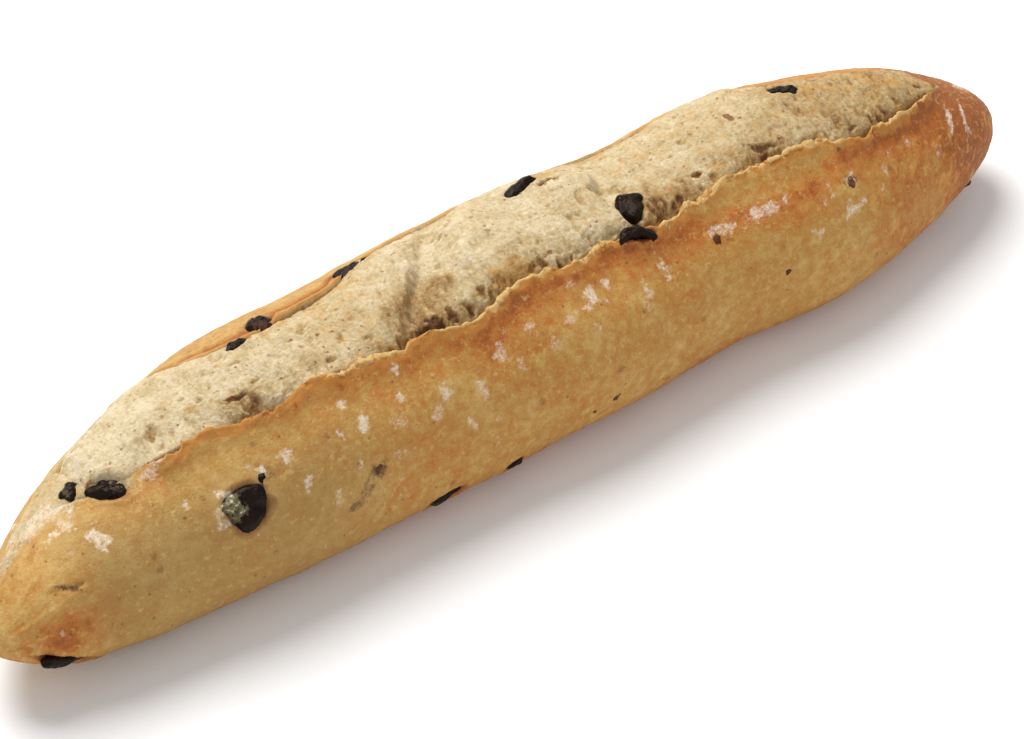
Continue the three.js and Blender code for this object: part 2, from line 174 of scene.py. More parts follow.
# How far the crumb is sunk beneath what covers it.
SINK_UNDER_EAR = 4
SINK_BESIDE_EAR = 1.4  # where the near lip isn't raised
SINK_UNDER_FAR = 1.8
SINK_AT_ENDS = 3
SKIRT_DEPTH = 2  # of the crumb's own edges, which hang down out of sight
TORN_DEPTH = 0.8  # where the crumb's fibres have come apart beside the near lip
FIBRE_SLANT = 0.3  # how far the fibres lean along the loaf for each millimetre across it
# Hollows in the crumb: (x, angle, length, width, turn, depth).
HOLLOWS = [
    (-78.6, 77, 8, 4.6, -20, 0.5), (-80.8, 81, 5.5, 1.6, -10, 0.8), (-74, 84, 3, 1.6, 20, 0.5),
    (-30, 69, 3, 5, 10, 1.1), (-26.5, 70.5, 2.4, 6, 20, 1.2), (-22.5, 70, 2.2, 4.5, 10, 1.0),
    (-18, 69, 2, 3.6, 20, 0.7), (-13.5, 72, 2, 3.6, 30, 0.7), (-8, 73, 1.8, 3.4, 20, 0.6),
    (1.6, 73, 3.2, 1.8, 0, 0.8), (4.5, 72, 1.8, 3, 20, 0.7), (38, 95, 11, 5, -50, 0.4),
    (41.5, 74, 8, 5, 20, 0.5), (55.6, 78.5, 2.4, 1.8, 0, 0.9), (59, 75, 2, 2.6, 0, 0.8),
    (75.5, 76.5, 9, 2, -18, 0.85), (48, 72, 2, 3, 20, 0.6), (23.5, 110.5, 6, 1.5, 0, 1.3),
    (101, 68, 3, 1.4, 0, 0.6), (108, 69, 1.6, 3, 20, 0.6), (113, 71, 1.6, 3, 20, 0.6),
    (119, 75, 1.6, 3, 20, 0.6), (129, 83, 3, 1.4, -40, 0.6), (-56.5, 73.5, 3, 2, 0, 0.6),
    (-41, 67, 1.8, 2.4, 0, 0.9),
]
# Stretches where the torn crumb is stringy, and painted browner as shade: (x, angle, length, width, turn,
# strength).
STRINGY_AND_SHADED = [
    (-27, 78, 17, 13, 25, 0.9), (-5, 76, 24, 9, 10, 0.3), (43, 74, 17, 10, 0, 0.8), (76, 75, 22, 8, 0, 0.4),
    (112, 86, 44, 30, 0, 0.5), (-79, 79, 12, 6, 0, 0.25), (135, 88, 20, 20, 0, 0.4),
]
# Reddish flecks in the crumb: (x, angle, length, width, turn, strength).
CRUMB_STAINS = [
    (74.3, 97.6, 4.4, 1.9, 80, 1.2), (76, 94.2, 1.6, 1.2, 0, 0.8), (72, 101, 1.4, 1, 0, 0.6),
    (55.7, 79, 2.6, 1.9, 0, 0.8), (-22, 112, 1.8, 1.2, 0, 0.8), (66, 112, 1.6, 1.1, 0, 0.6),
    (-81.4, 82.6, 4.4, 1, -10, 0.8), (-60, 92, 1.6, 1.2, 0, 0.7), (24.5, 110.5, 4, 1.2, -10, 0.8),
    (80.5, 77, 1.8, 1.2, 0, 0.9), (8, 75, 2.2, 1.1, 0, 0.8), (4, 78, 1.4, 1, 0, 0.6),
    (-33, 84, 1.6, 1, 0, 0.5), (60, 84, 1.6, 1.1, 0, 0.6), (48, 104, 1.5, 1, 0, 0.6),
    (32, 97, 1.4, 1, 30, 0.5), (88, 90, 1.5, 1, 60, 0.6), (-118.6, 97, 2.6, 1.8, 0, 0.75),
    (-54, 88, 2, 1.3, 0, 0.7), (-50.8, 86, 1.8, 1.2, 0, 0.7), (-84, 77, 3, 2.6, 0, 0.5),
    (14, 92, 1.4, 0.9, 0, 0.5), (-10, 101, 1.3, 0.9, 0, 0.5), (-48, 84, 1.5, 1, 40, 0.5),
]
# Spots where the crumb is baked golden: (x, angle, length, width, turn, strength).
GOLDEN_SPOTS = [
    (25, 116.5, 7, 4.5, 0, 1.0), (-47, 112, 4, 2, 0, 0.8), (-36, 109, 4, 2, 20, 0.8),
    (-63, 103, 4, 2, 0, 0.5), (-90.5, 89, 3, 2.4, 0, 0.9), (-104.5, 93.5, 2.5, 1.5, 0, 0.7),
    (100, 98, 14, 6, 0, 0.5), (118, 92, 12, 8, 0, 0.4), (-3, 73, 15, 6, 0, 0.9),
    (-118.6, 97, 3, 2.4, 0, 0.9),
]
# Folds of the crust at the left tip: ((x, angle) of one end, of the other, half width, height).
FOLDS = [
    ((-132.8, 44), (-142.3, 43.5), 0.7, 0.5), ((-142.3, 43.5), (-151.2, 40), 1.0, 0.4),
    ((-139.7, 57), (-132.8, 47), 0.6, -0.9), ((-147.3, 13), (-140.7, -11), 0.8, 0.5),
    ((-144, 30), (-139, 14), 0.9, -0.4), ((-150, 24), (-146, 5), 0.7, -0.5),
    ((-136, 36), (-143, 26), 0.6, 0.3), ((-130, 30), (-136, 4), 0.8, 0.3),
    ((-148, 50), (-145, 30), 0.6, -0.3),
]
FOLDS_END = -125

# ---- Olives ----
# (x, angle, length, width, thickness, turn in degrees, sink below the surface)
OLIVES = [
    (-91.6, 36.2, 10.8, 9.8, 5.2, 20, 1.4), (-116, 86.2, 9.2, 6, 4.4, -50, 1.3),
    (-122.8, 104, 5.6, 4.6, 4, 45, 1.2), (-140.5, -24, 15, 3, 4, -24, 1.5),
    (-70, 107, 6.4, 3.6, 4, 15, 0.9), (-60.9, 112.5, 6.6, 6.4, 4.5, -30, 1.2),
    (-30.6, 122, 11.6, 4.4, 3.8, 4, 0.9), (17.4, 115.6, 11.2, 4.2, 3.8, 12, 0.9),
    (35.4, 80, 9.4, 6.8, 6.5, 52, 1.3), (29.2, 63.8, 9.4, 3, 4, -18, 0.9),
    (93.8, 103.4, 7.6, 4, 3.2, -45, 0.8), (-39.6, -25, 10, 4, 4.6, 12, 1.5), (-20, -26, 5.4, 3, 4, 15, 1.3),
    (-104, 176, 11, 9, 6, 40, 1.6), (-2, 176, 9, 10, 6, -20, 1.7), (62, 193, 12, 7, 6, 15, 1.5),
    (118, 158, 8, 8, 5, 0, 1.3),
]
# What sets single olives apart: lobes turned by so much, a taper, a bend, squarer edges or a browner tone.
OLIVE_SHAPES = {
    0: {"lobes": 0.09, "turned": 8},
    1: {"lobes": 0.05, "turned": 80},
    5: {"lobes": 0.12, "turned": 50},
    6: {"taper": -0.2, "lobes": 0.08},
    7: {"bend": 0.03, "lobes": 0.05},
    8: {"taper": 0.36, "square": 0.42},
    9: {"bend": 0.11, "square": 0.7},
}
BROWNER = {5: 1.5, 9: 0.7}
# Small bits that the crust has closed round: (x, angle, length, width, turn).
BITS = [
    (-85.3, 45.7, 3.8, 3.2, 30), (-86.6, 42, 2.2, 1.5, 60), (-58, 22, 3, 2.2, 40), (3, -10, 2.6, 1.8, 60),
    (9.5, -7, 3.4, 1.9, 35), (49, 46.5, 3, 2.2, 80), (65, 15, 2, 1.7, 0), (91, 45, 3.4, 2.6, 70),
    (135, -24, 4.2, 2.4, 0), (-76, 186, 5, 3, 30), (-38, 168, 4, 3.4, 0), (33, 184, 5.4, 2.8, -50),
    (88, 172, 3.6, 3, 20),
]
BIT_THICKNESS = 2.6
BIT_SINK = 0.95
BROWN_BIT = 3.5  # bits shorter than this are reddish brown
BROWN_TONE = 2.7
SQUARENESS = 0.82
WOBBLE = 0.07
OLIVE_ROUGHNESS = 0.32
BIT_ROUGHNESS = 0.42
OUTLINE_POWER = 2.4  # of the superellipse that a piece, a spot or a patch covers
FAR_AWAY = 9.0  # the reach of points that no piece covers
POCKET_DEPTH = 0.45  # as a share of the olive's thickness
POCKET_RIM = 0.4  # height of the crust's rim round an olive
POCKET_RIM_WIDTH = 2.2

# ---- Flour on the crust ----
# Patches: (x, angle, size along the loaf, size round it, turn in degrees, strength).
FLOUR = [
    (-60, 56, 2, 3, 0, 0.9), (-57, 45, 5.5, 3.5, 30, 1.0), (-49, 38, 4.5, 4, 20, 0.6),
    (-64, 46, 1.5, 3, 20, 0.9), (-46, 47, 2.5, 2.5, 0, 1.0), (-35, 40, 3, 4, 10, 0.9),
    (-26, 34, 2.5, 6, 0, 0.8), (-39, 33, 3, 5.5, -30, 0.7), (-31, 20, 2, 4, 15, 0.8),
    (-24, 16, 2, 3, 0, 0.5), (-51, 23, 6, 4.5, 10, 0.45), (-53, 10, 2.5, 2.5, 0, 0.5),
    (-62, 29, 1.6, 2.2, 0, 0.8), (-76, 33, 2, 5, -20, 0.8), (-70, 18, 2, 4, 0, 0.8),
    (-25, 3, 1.6, 4, 0, 0.5), (-125, 67, 3.2, 7, 20, 1.0), (-131, 88, 8, 2.5, 0, 0.9),
    (-131, 108, 12, 10, 0, 0.75), (-104, 52, 2.2, 2.2, 0, 0.8), (-106, 77, 8, 3, 10, 0.7),
    (-87, 53, 2.2, 2.2, 0, 0.7), (-132, 70, 4, 2, 0, 0.5), (-140, 120, 8, 8, 0, 0.6),
    (-78, 48, 3.8, 3.8, 0, 0.8), (-44, 58, 1.4, 2.4, 0, 1.0), (10.5, 50, 3.4, 4.4, 0, 0.9),
    (15.5, 51.5, 2.6, 2.8, 0, 0.9), (25, 41, 2.4, 5, 0, 0.8), (32, 46, 1.8, 7.5, 0, 0.8),
    (23, 34, 1.6, 4, 0, 0.6), (7, 58, 2.2, 2.2, 0, 0.7), (8, 36, 2.2, 3.4, 0, 0.5),
    (-15, 54, 2.2, 2.2, 0, 0.6), (65, 49, 12, 4.2, 0, 0.85), (8, 46, 2.2, 2.8, 20, 0.8),
    (13.5, 46, 1.6, 2.4, 0, 0.7), (76, 29, 3.6, 3.2, 0, 0.8), (91, 46, 3.2, 3.2, 0, 0.9),
    (84, 46, 1.8, 4, 0, 0.8), (81, 42, 1.8, 2.4, 0, 0.6), (87, 33, 5, 4, 20, 0.9),
    (92, 34, 4.5, 2.2, 20, 0.7), (53, 50, 4.5, 3.2, 0, 0.8), (49, 51, 4, 3, 0, 0.8),
    (65, 35, 2.2, 3, 0, 0.5), (132, 52.5, 1.7, 8, -26, 1.0), (137, 46, 1.7, 9, -26, 0.9),
    (137, 36, 1.6, 3, 0, 0.7), (148, 95, 5, 4, 0, 0.9), (114, 50, 3, 2, 20, 0.6),
    (107, 49, 2.4, 3.4, 0, 0.5), (122, 35, 1.8, 1.8, 0, 0.7), (103, 42, 2.2, 3.2, 0, 0.8),
    (100, 34, 2, 2.4, 0, 0.6), (-95.5, 41, 6, 7, 30, 1.0), (-85, 48, 2.4, 2.4, 0, 1.0),
    (-114.5, 86, 3, 3, 0, 0.6), (-140.7, 15, 1.6, 2, 0, 0.8), (-62.5, 116, 2.4, 2.4, 0, 0.8),
    (-18, 45, 4, 4, 10, 0.75), (-28.5, 122.6, 3.4, 1.8, 0, 1.0), (-8, 50, 3, 3, 0, 0.7),
    (-4, 38, 3.5, 4, 20, 0.6), (3, 46, 4, 3, 20, 0.7), (-14, 36, 2.5, 4, 0, 0.6),
]
# Olive that shows darkly through the skin of the crust: (x, angle, length, width, turn, strength).
STAINS = [
    (-62, 14, 10, 3.6, 62, 0.6), (-66, 8, 5, 4, 60, 0.55), (-58, 21, 6, 4.4, 50, 0.75),
    (-52, 24, 8, 6, 20, 0.25), (30, 58, 9, 4, 0, 0.4), (51, 48, 7, 7, 0, 0.4), (91, 45, 6, 5, 0, 0.6),
    (-85, 46, 5, 5, 0, 0.5), (-136.3, 52, 7.5, 1.4, -38, 0.8), (-92, 30, 13, 6, 0, 0.3),
    (39, 48, 5, 4, 0, 0.2), (120, 20, 6, 3, 30, 0.3), (62, 30, 5, 3, 40, 0.2), (-28, 28, 5, 3, 40, 0.2),
    (92.5, 61, 2, 1.6, 0, 0.7), (86, 66, 2, 1.4, 0, 0.4),
]
HIDDEN_FLOUR = 60  # patches scattered over the side that faces away
FLOUR_SEED = 5

# ---- Mesh fineness ----
CRUST_STATIONS = 420
CRUMB_STATIONS = 800
CRUMB_COLUMNS = 118
LIP_STATIONS = 1500
LIP_COLUMNS = 20
# Columns of a ring of crust, stretch by stretch from the middle of the underside.
UNDERSIDE_COLUMNS = 16
NEAR_COLUMNS = 84
EAR_COLUMNS = 24
TROUGH_COLUMNS = 20
FAR_COLUMNS = 62
FAR_UNDERSIDE_COLUMNS = 15
NEAR_FOOT = -42.0  # the angle at which the underside ends
FAR_FOOT = 222
AROUND_RADIUS = 28  # mean radius of a section, which turns an angle into millimetres
SLOPE_STEP = 1.5
MAP_MARGIN = 0.004

# ---- Camera, fitted to the loaf's outline ----
FRAME_WIDTH_PX = 1024
FOCAL_PX = 3468
SENSOR = 36
CAMERA_AZIMUTH = -37.78
CAMERA_ELEVATION = 44
CAMERA_DISTANCE = 850
CAMERA_TARGET = (-6.4, -12.3, 18.96)
# Lights: (name, azimuth from the camera's, elevation, distance and size in metres, power).
LIGHTS = [("key", 215, 58, 1.6, 1.2, 29), ("fill", 20, 40, 2.2, 1.8, 6)]
LIGHTS_AIM = 0.02  # height that they point at, in metres
SKY_STRENGTH = 0.5
FLOOR_SIZE = 12


# ==== Small helpers ====
def bell(t):
    return np.exp(-t * t)


def clamp01(t):
    return np.clip(t, 0, 1)


def smooth(t):
    t = clamp01(t)
    return t * t * (3 - 2 * t)


def rise(value, start, width):
    """From 0 at start to 1 after a further width."""
    return smooth((value - start) / width)


def fall(value, end, width):
    """From 1 to 0, which it reaches at end."""
    return smooth((end - value) / width)


def hump(value, middle, half):
    return bell((value - middle) / half)


def mix(a, b, t):
    return a + (b - a) * t


def through(knots):
    """A smooth curve y(x) through knots, level outside the first and the last."""
    kx, ky = np.array(knots, float).T
    last = len(kx) - 1
    before = np.maximum(np.arange(last + 1) - 1, 0)
    after = np.minimum(np.arange(last + 1) + 1, last)
    slope = (ky[after] - ky[before]) / (kx[after] - kx[before])

    def curve(x):
        x = np.clip(x, kx[0], kx[-1])
        i = np.clip(np.searchsorted(kx, x, side="right") - 1, 0, last - 1)
        h = kx[i + 1] - kx[i]
        t = (x - kx[i]) / h
        a = ky[i] * (1 + 2 * t) + slope[i] * h * t
        b = ky[i + 1] * (3 - 2 * t) - slope[i + 1] * h * (1 - t)
        return a * (1 - t) ** 2 + b * t**2

    return curve


# ==== Noise ====
GRADIENTS = np.array(
    [(a, b, 0) for a in (1, -1) for b in (1, -1)]
    + [(a, 0, b) for a in (1, -1) for b in (1, -1)]
    + [(0, a, b) for a in (1, -1) for b in (1, -1)],
    float,
)


def hashed(cell, seed):
    """A repeatable random number from 0 to 1 for each cell of a grid of whole numbers."""
    c = cell.astype(np.int64)
    h = c[..., 0] * 374761393 + c[..., 1] * 668265263 + c[..., 2] * 1440662683 + seed * 1274126177
    h &= 0xFFFFFFFF
    h = ((h ^ (h >> 13)) * 1274126177) & 0xFFFFFFFF
    h = ((h ^ (h >> 16)) * 2246822519) & 0xFFFFFFFF
    return ((h ^ (h >> 13)) & 0xFFFFFF) / 0xFFFFFF


def noise(p, size, seed):
    """Smooth noise of about -1 to 1 at points p, with features of the given size."""
    q = np.asarray(p, float) / size
    cell = np.floor(q)
    f = q - cell
    w = f * f * f * (f * (f * 6 - 15) + 10)
    total = 0.0
    for corner in np.ndindex(2, 2, 2):
        corner = np.array(corner)
        pick = np.minimum((hashed(cell + corner, seed) * 12).astype(int), 11)
        slope = ((f - corner) * GRADIENTS[pick]).sum(-1)
        total = total + slope * np.prod(np.where(corner, w, 1 - w), axis=-1)
    return total


def layered(p, size, seed, layers=3, falloff=0.5):
    """Noise with finer noise on top of it."""
    total = 0.0
    for i in range(layers):
        total = total + noise(p, size / 2**i, seed + 31 * i) * falloff**i
    return total


def hollows(p, size, seed, share=1.0, least=0.22, most=0.6):
    """Round hollows of uneven size, at most one to a cell: 0 outside them, 1 at the middle of a big one."""
    q = np.asarray(p, float) / size
    cell = np.floor(q)
    deepest = np.zeros(q.shape[:-1])
    for offset in np.ndindex(3, 3, 3):
        c = cell + np.array(offset) - 1
        centre = c + np.stack([hashed(c, seed + k) for k in (1, 2, 3)], -1)
        draw = hashed(c, seed + 4)
        radius = mix(least, most, draw**2)
        there = hashed(c, seed + 5) < share
        away = ((q - centre) ** 2).sum(-1) / radius**2
        deepest = np.maximum(deepest, there * clamp01(1 - away) * radius / most)
    return deepest


def noise_along(x, size, seed):
    """Noise along one line."""
    x = np.asarray(x, float)
    p = np.stack([x, np.full_like(x, 0.37 * size), np.full_like(x, 0.61 * size)], -1)
    return noise(p, size, seed)


def blended(points, layers):
    """The sum of noise layers of (size, amount, seed)."""
    return sum(amount * noise(points, size, seed) for size, amount, seed in layers)


def blended_along(x, layers):
    """The same along one line."""
    return sum(amount * noise_along(x, size, seed) for size, amount, seed in layers)


def wander(points, size, seed):
    """A smooth shift in all three directions."""
    return np.stack([noise(points, size, seed + k) for k in range(3)], -1)


# ==== The plain loaf ====
lip_toast = through(LIP_TOAST)
toast_place = through(TOAST_PLACE)
lip_crumb_size = through(LIP_CRUMBS)
fullness = through(FULLNESS)
bend = through(BEND)
near_lip = through(NEAR_LIP)
far_lip = through(FAR_LIP)


def plain_point(x, angle):
    """Y and Z of the plain loaf's surface."""
    s = x / (LENGTH / 2)
    reach = np.abs(s)
    taper = np.sqrt(np.maximum(1 - reach**SIDE_TAPER, 0))
    lift = np.sqrt(np.maximum(1 - reach**FOOT_TAPER, 0))
    waist = WAIST * HEIGHT * (1 - TIP_DROOP * s * s)
    half = WIDTH / 2 * fullness(s) * taper
    above = (1 - WAIST) * HEIGHT * taper * (1 + fullness(s)) * 0.5
    below = (waist + SAG) * lift
    a = np.radians(angle)
    c, sn = np.cos(a), np.sin(a)
    power = np.where(sn >= 0, TOP_ROUNDNESS, FOOT_ROUNDNESS)
    r = (np.abs(c) ** power + np.abs(sn) ** power) ** (-1 / power)
    return bend(s) - half * c * r, waist + np.where(sn >= 0, above, below) * sn * r


def outward(x, angle):
    """The way out of the crust within the section's plane, and the millimetres in one degree there."""
    y1, z1 = plain_point(x, angle - SLOPE_STEP)
    y2, z2 = plain_point(x, angle + SLOPE_STEP)
    length = np.maximum(np.hypot(y2 - y1, z2 - z1), 1e-6)
    return -(z2 - z1) / length, (y2 - y1) / length, length / (2 * SLOPE_STEP)


def mm_per_degree(x, angle):
    return outward(x, angle)[2]


def pressed(z):
    """A height pressed flat where it would lie below the table."""
    bowl = (np.clip(z, -SAG_ROUNDING, SAG_ROUNDING) + SAG_ROUNDING) ** 2 / (4 * SAG_ROUNDING)
    return np.where(z >= SAG_ROUNDING, z, bowl)


def surface(x, angle, height):
    """The point that lies height above the plain crust."""
    y, z = plain_point(x, angle)
    ny, nz, _ = outward(x, angle)
    x = np.broadcast_to(x, y.shape)
    return np.stack([x, y + ny * height, pressed(z + nz * height)], -1)


# ==== Broad relief, the same as the solid's ====
def cut_open(x):
    return rise(x, CUT_START, CUT_FADE) * fall(x, CUT_END, CUT_FADE)


def ear_open(x):
    return rise(x, EAR_START, EAR_FADE) * fall(x, CUT_END, CUT_FADE)


def crust_relief(x, angle):
    a = np.radians(angle)
    tips = np.sqrt(clamp01(1 - np.abs(x) / (LENGTH / 2)))
    calm = smooth((1 + np.sin(a)) / UNDERSIDE_CALM)
    slow = np.sin(x / 11 + 2.1 * np.sin(a)) + np.sin(x / 19 - 3 * a + 1.3)
    lumps = slow + np.sin(x / 7.3 + 2 * a)
    dents = 0.0
    for middle_x, middle_angle, length, width, depth in DENTS:
        dents = dents + depth * hump(x, middle_x, length) * hump(angle, middle_angle, width)
    return LUMP * tips * calm * lumps - dents


def flap_height(x, past):
    proud = FAR_LIP_HEIGHT + FLAP_HEIGHT * hump(x, FLAP_X, FLAP_SPREAD)
    return cut_open(x) * proud * clamp01(1 - past / FLAP_BASE) ** 2


def crevice_depth(x):
    depth = CREVICE_DEPTH
    for middle, extra, half in TEARS:
        depth = depth + extra * hump(x, middle, half)
    return depth


def roll_height(x, across):
    """How high the roll under x stands, from below 0 at its start to 1 on its back."""
    height = np.zeros(np.broadcast(x, across).shape)
    for start, end in zip(ROLL_ENDS, ROLL_ENDS[1:]):
        begins = start[0] + start[1] * across
        ends = end[0] + end[1] * across
        q = clamp01((x - begins) / (ends - begins))
        low = -start[2] / CRUMB_BULGE
        risen = low + (1 - low) * smooth(q / ROLL_RISE)
        if end[2]:
            risen = mix(risen, ROLL_END_HEIGHT, clamp01((q - 1 + ROLL_FALL) / ROLL_FALL) ** 2)
        height = mix(height, risen, smooth((x - begins) / ROLL_EDGE + 0.5))
    return height


def crumb_height(x, across, roll_x):
    """How high the crumb stands over the crust: its rolls, less the crevice and the far groove."""
    dome = (4 * clamp01(across * (1 - across))) ** CRUMB_ROUNDNESS
    gap = ear_open(x) * crevice_depth(x) * bell(across / CREVICE_WIDTH)
    groove = FAR_GROOVE_DEPTH * bell((1 - across) / FAR_GROOVE_WIDTH)
    return cut_open(x) * (CRUMB_BULGE * dome * roll_height(roll_x, across) - gap - groove)


def broad_relief(x, angle):
    """Height of the surface over the plain loaf, as the solid has it."""
    near, far = near_lip(x), far_lip(x)
    across = clamp01((angle - near) / (far - near))
    ear = ear_open(x) * EAR_HEIGHT * clamp01(1 - (near - angle) / EAR_BASE) ** 2
    past_lip = np.where(angle >= far, flap_height(x, angle - far), crumb_height(x, across, x))
    return crust_relief(x, angle) + np.where(angle <= near, ear, past_lip)


# ==== Places on the surface ====
def place_on_loaf(x, angle, turn, sink):
    """A frame on the surface: its X along the loaf turned by turn, its Z out of the crust."""
    x, angle = np.float64(x), np.float64(angle)
    ny, nz, _ = outward(x, angle)
    origin = surface(x, angle, broad_relief(x, angle) - sink)
    z_axis = Vector((0, ny, nz))
    x_axis = Vector((1, 0, 0))
    y_axis = z_axis.cross(x_axis)
    basis = Matrix((x_axis, y_axis, z_axis)).transposed().to_4x4()
    return Matrix.Translation(origin) @ basis @ Matrix.Rotation(math.radians(turn), 4, "Z")


OLIVE_FRAMES = [place_on_loaf(x, a, turn, 0) for x, a, _, _, _, turn, _ in OLIVES]


def footprint(points, place, length, width, ragged=0.0):
    """How far points lie from the middle of a piece, where 1 is its outline. Far points are left FAR_AWAY.

    Points well below or above the piece count as further off, so it leaves no mark on the loaf's other side.
    """
    reach = np.full(points.shape[:-1], FAR_AWAY)
    small, large = min(length, width), max(length, width)
    origin = np.array(place.translation)
    close = ((points - origin) ** 2).sum(-1) < (2 * large) ** 2
    local = (points[close] - origin) @ np.array(place.to_3x3())
    flat = np.abs(local[:, :2] / (length / 2, width / 2)) ** OUTLINE_POWER
    beyond = np.maximum(np.abs(local[:, 2]) - 0.6 * large - 2, 0)
    reach[close] = flat.sum(-1) ** (1 / OUTLINE_POWER) + beyond
    if ragged:
        reach[close] += ragged * blended(points[close], [(0.6 * small, 1, 73), (0.25 * small, 0.5, 74)])
    return reach


def pockets(points):
    """Change of height round the olives, with a raised rim, and how near a point is to one."""
    drop = np.zeros(points.shape[:-1])
    nearness = np.zeros(points.shape[:-1])
    rough = 1 + 0.14 * noise(points, 2.6, 71)
    for place, (_, _, length, width, thickness, _, _) in zip(OLIVE_FRAMES, OLIVES):
        reach = footprint(points, place, length, width) * rough
        rim_width = POCKET_RIM_WIDTH / max(length, width)
        drop -= POCKET_DEPTH * thickness * fall(reach, 1.02, 0.35)
        drop += POCKET_RIM * bell((reach - 1.06 - rim_width) / rim_width)
        nearness = np.maximum(nearness, fall(reach, 1.5, 0.5))
    return drop, nearness


def spread_of(points, spots, ragged=0.5, reach_out=1.4):
    """How strongly points are covered by spots of (x, angle, length, width, turn, strength), from 0 to 1."""
    cover = np.zeros(points.shape[:-1])
    for x, angle, length, width, turn, strength in spots:
        reach = footprint(points, place_on_loaf(x, angle, turn, 0), length, width, ragged)
        cover = np.maximum(cover, strength * smooth(reach_out - reach))
    return cover


# ==== Making meshes ====
def even_stations(start, end, count):
    """Places along the loaf that are evenly spaced over its outline as seen from above."""
    t = np.linspace(0, math.pi, 6000)
    x = (start + end) / 2 - (end - start) / 2 * np.cos(t)
    y, _ = plain_point(x, np.full_like(x, 180.0))
    step = np.hypot(np.diff(x), np.diff(y))
    length = np.concatenate([[0], np.cumsum(step)])
    return np.interp(np.linspace(0, length[-1], count + 2)[1:-1], length, x)


def ring_normals(points):
    """Outward directions over a grid of (station, column) points whose columns go once round."""
    around = np.roll(points, -1, 1) - np.roll(points, 1, 1)
    n = np.cross(np.gradient(points, axis=0), around)
    return n / np.maximum(np.linalg.norm(n, axis=-1, keepdims=True), 1e-9)


def tube_object(name, points, ends, attributes, material):
    """A closed mesh from rings of points, with a fan to a point at each end."""
    stations, columns = points.shape[:2]
    verts = np.concatenate([points.reshape(-1, 3), np.array(ends, float)]) * MM
    i, j = np.meshgrid(np.arange(stations - 1), np.arange(columns), indexing="ij")
    here, beside = i * columns + j, i * columns + (j + 1) % columns
    quads = np.stack([here, here + columns, beside + columns, beside], -1)
    ring = np.arange(columns)
    after = (ring + 1) % columns
    first_end, last_ring = stations * columns, (stations - 1) * columns
    fans = [
        np.stack([0 * ring + first_end, ring, after], -1),
        np.stack([0 * ring + first_end + 1, last_ring + after, last_ring + ring], -1),
    ]
    obj = mesh_object(name, verts, quads.reshape(-1, 4), np.concatenate(fans), attributes, material)
    unroll(obj.data, i, j, stations, columns)
    return obj


def unroll(mesh, i, j, stations, columns):
    """The tube laid out flat as a UV map, with the fans of its two ends as narrow strips beside it."""
    across = np.stack([i, i + 1, i + 1, i], -1) + 1
    up = np.stack([j, j, j + 1, j + 1], -1)
    ring = np.arange(columns)
    fan_across = np.repeat([[0, 1, 1], [stations + 1, stations, stations]], columns, axis=0)
    fan_up = [np.stack([ring + 0.5, ring + a, ring + 1 - a], -1) for a in (0, 1)]
    u = np.concatenate([across.ravel(), fan_across.ravel()]) / (stations + 1)
    v = np.concatenate([up.ravel(), np.concatenate(fan_up).ravel()]) / columns
    uv = MAP_MARGIN + (1 - 2 * MAP_MARGIN) * np.stack([u, v], -1)
    mesh.uv_layers.new(name="OFBake").data.foreach_set("uv", uv.astype(np.float32).ravel())


def mesh_object(name, verts, quads, triangles, attributes, material):
    """A smooth-shaded mesh object with float attributes on its points, riding on the loaf's body."""
    mesh = bpy.data.meshes.new(name)
    faces = [quads, triangles]
    loops = np.concatenate([f.ravel() for f in faces]).astype(np.int32)
    totals = np.concatenate([np.full(len(f), f.shape[1]) for f in faces]).astype(np.int32)
    starts = np.concatenate([[0], np.cumsum(totals)[:-1]]).astype(np.int32)
    mesh.vertices.add(len(verts))
    mesh.vertices.foreach_set("co", verts.astype(np.float32).ravel())
    mesh.loops.add(len(loops))
    mesh.loops.foreach_set("vertex_index", loops)
    mesh.polygons.add(len(totals))
    mesh.polygons.foreach_set("loop_start", starts)
    mesh.polygons.foreach_set("use_smooth", np.ones(len(totals), bool))
    mesh.update(calc_edges=True)
    mesh.validate()
    for key, values in attributes.items():
        layer = mesh.attributes.new(key, "FLOAT", "POINT")
        padded = np.zeros(len(verts), np.float32)
        padded[: values.size] = values.ravel()
        layer.data.foreach_set("value", padded)
    mesh.materials.append(material)
    obj = bpy.data.objects.new(name, mesh)
    bpy.context.scene.collection.objects.link(obj)
    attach(obj, "root")
    return obj


def tip(side):
    """The loaf's very end on one side (-1 or 1)."""
    return (side * LENGTH / 2, float(bend(np.float64(side))), WAIST * HEIGHT * (1 - TIP_DROOP))


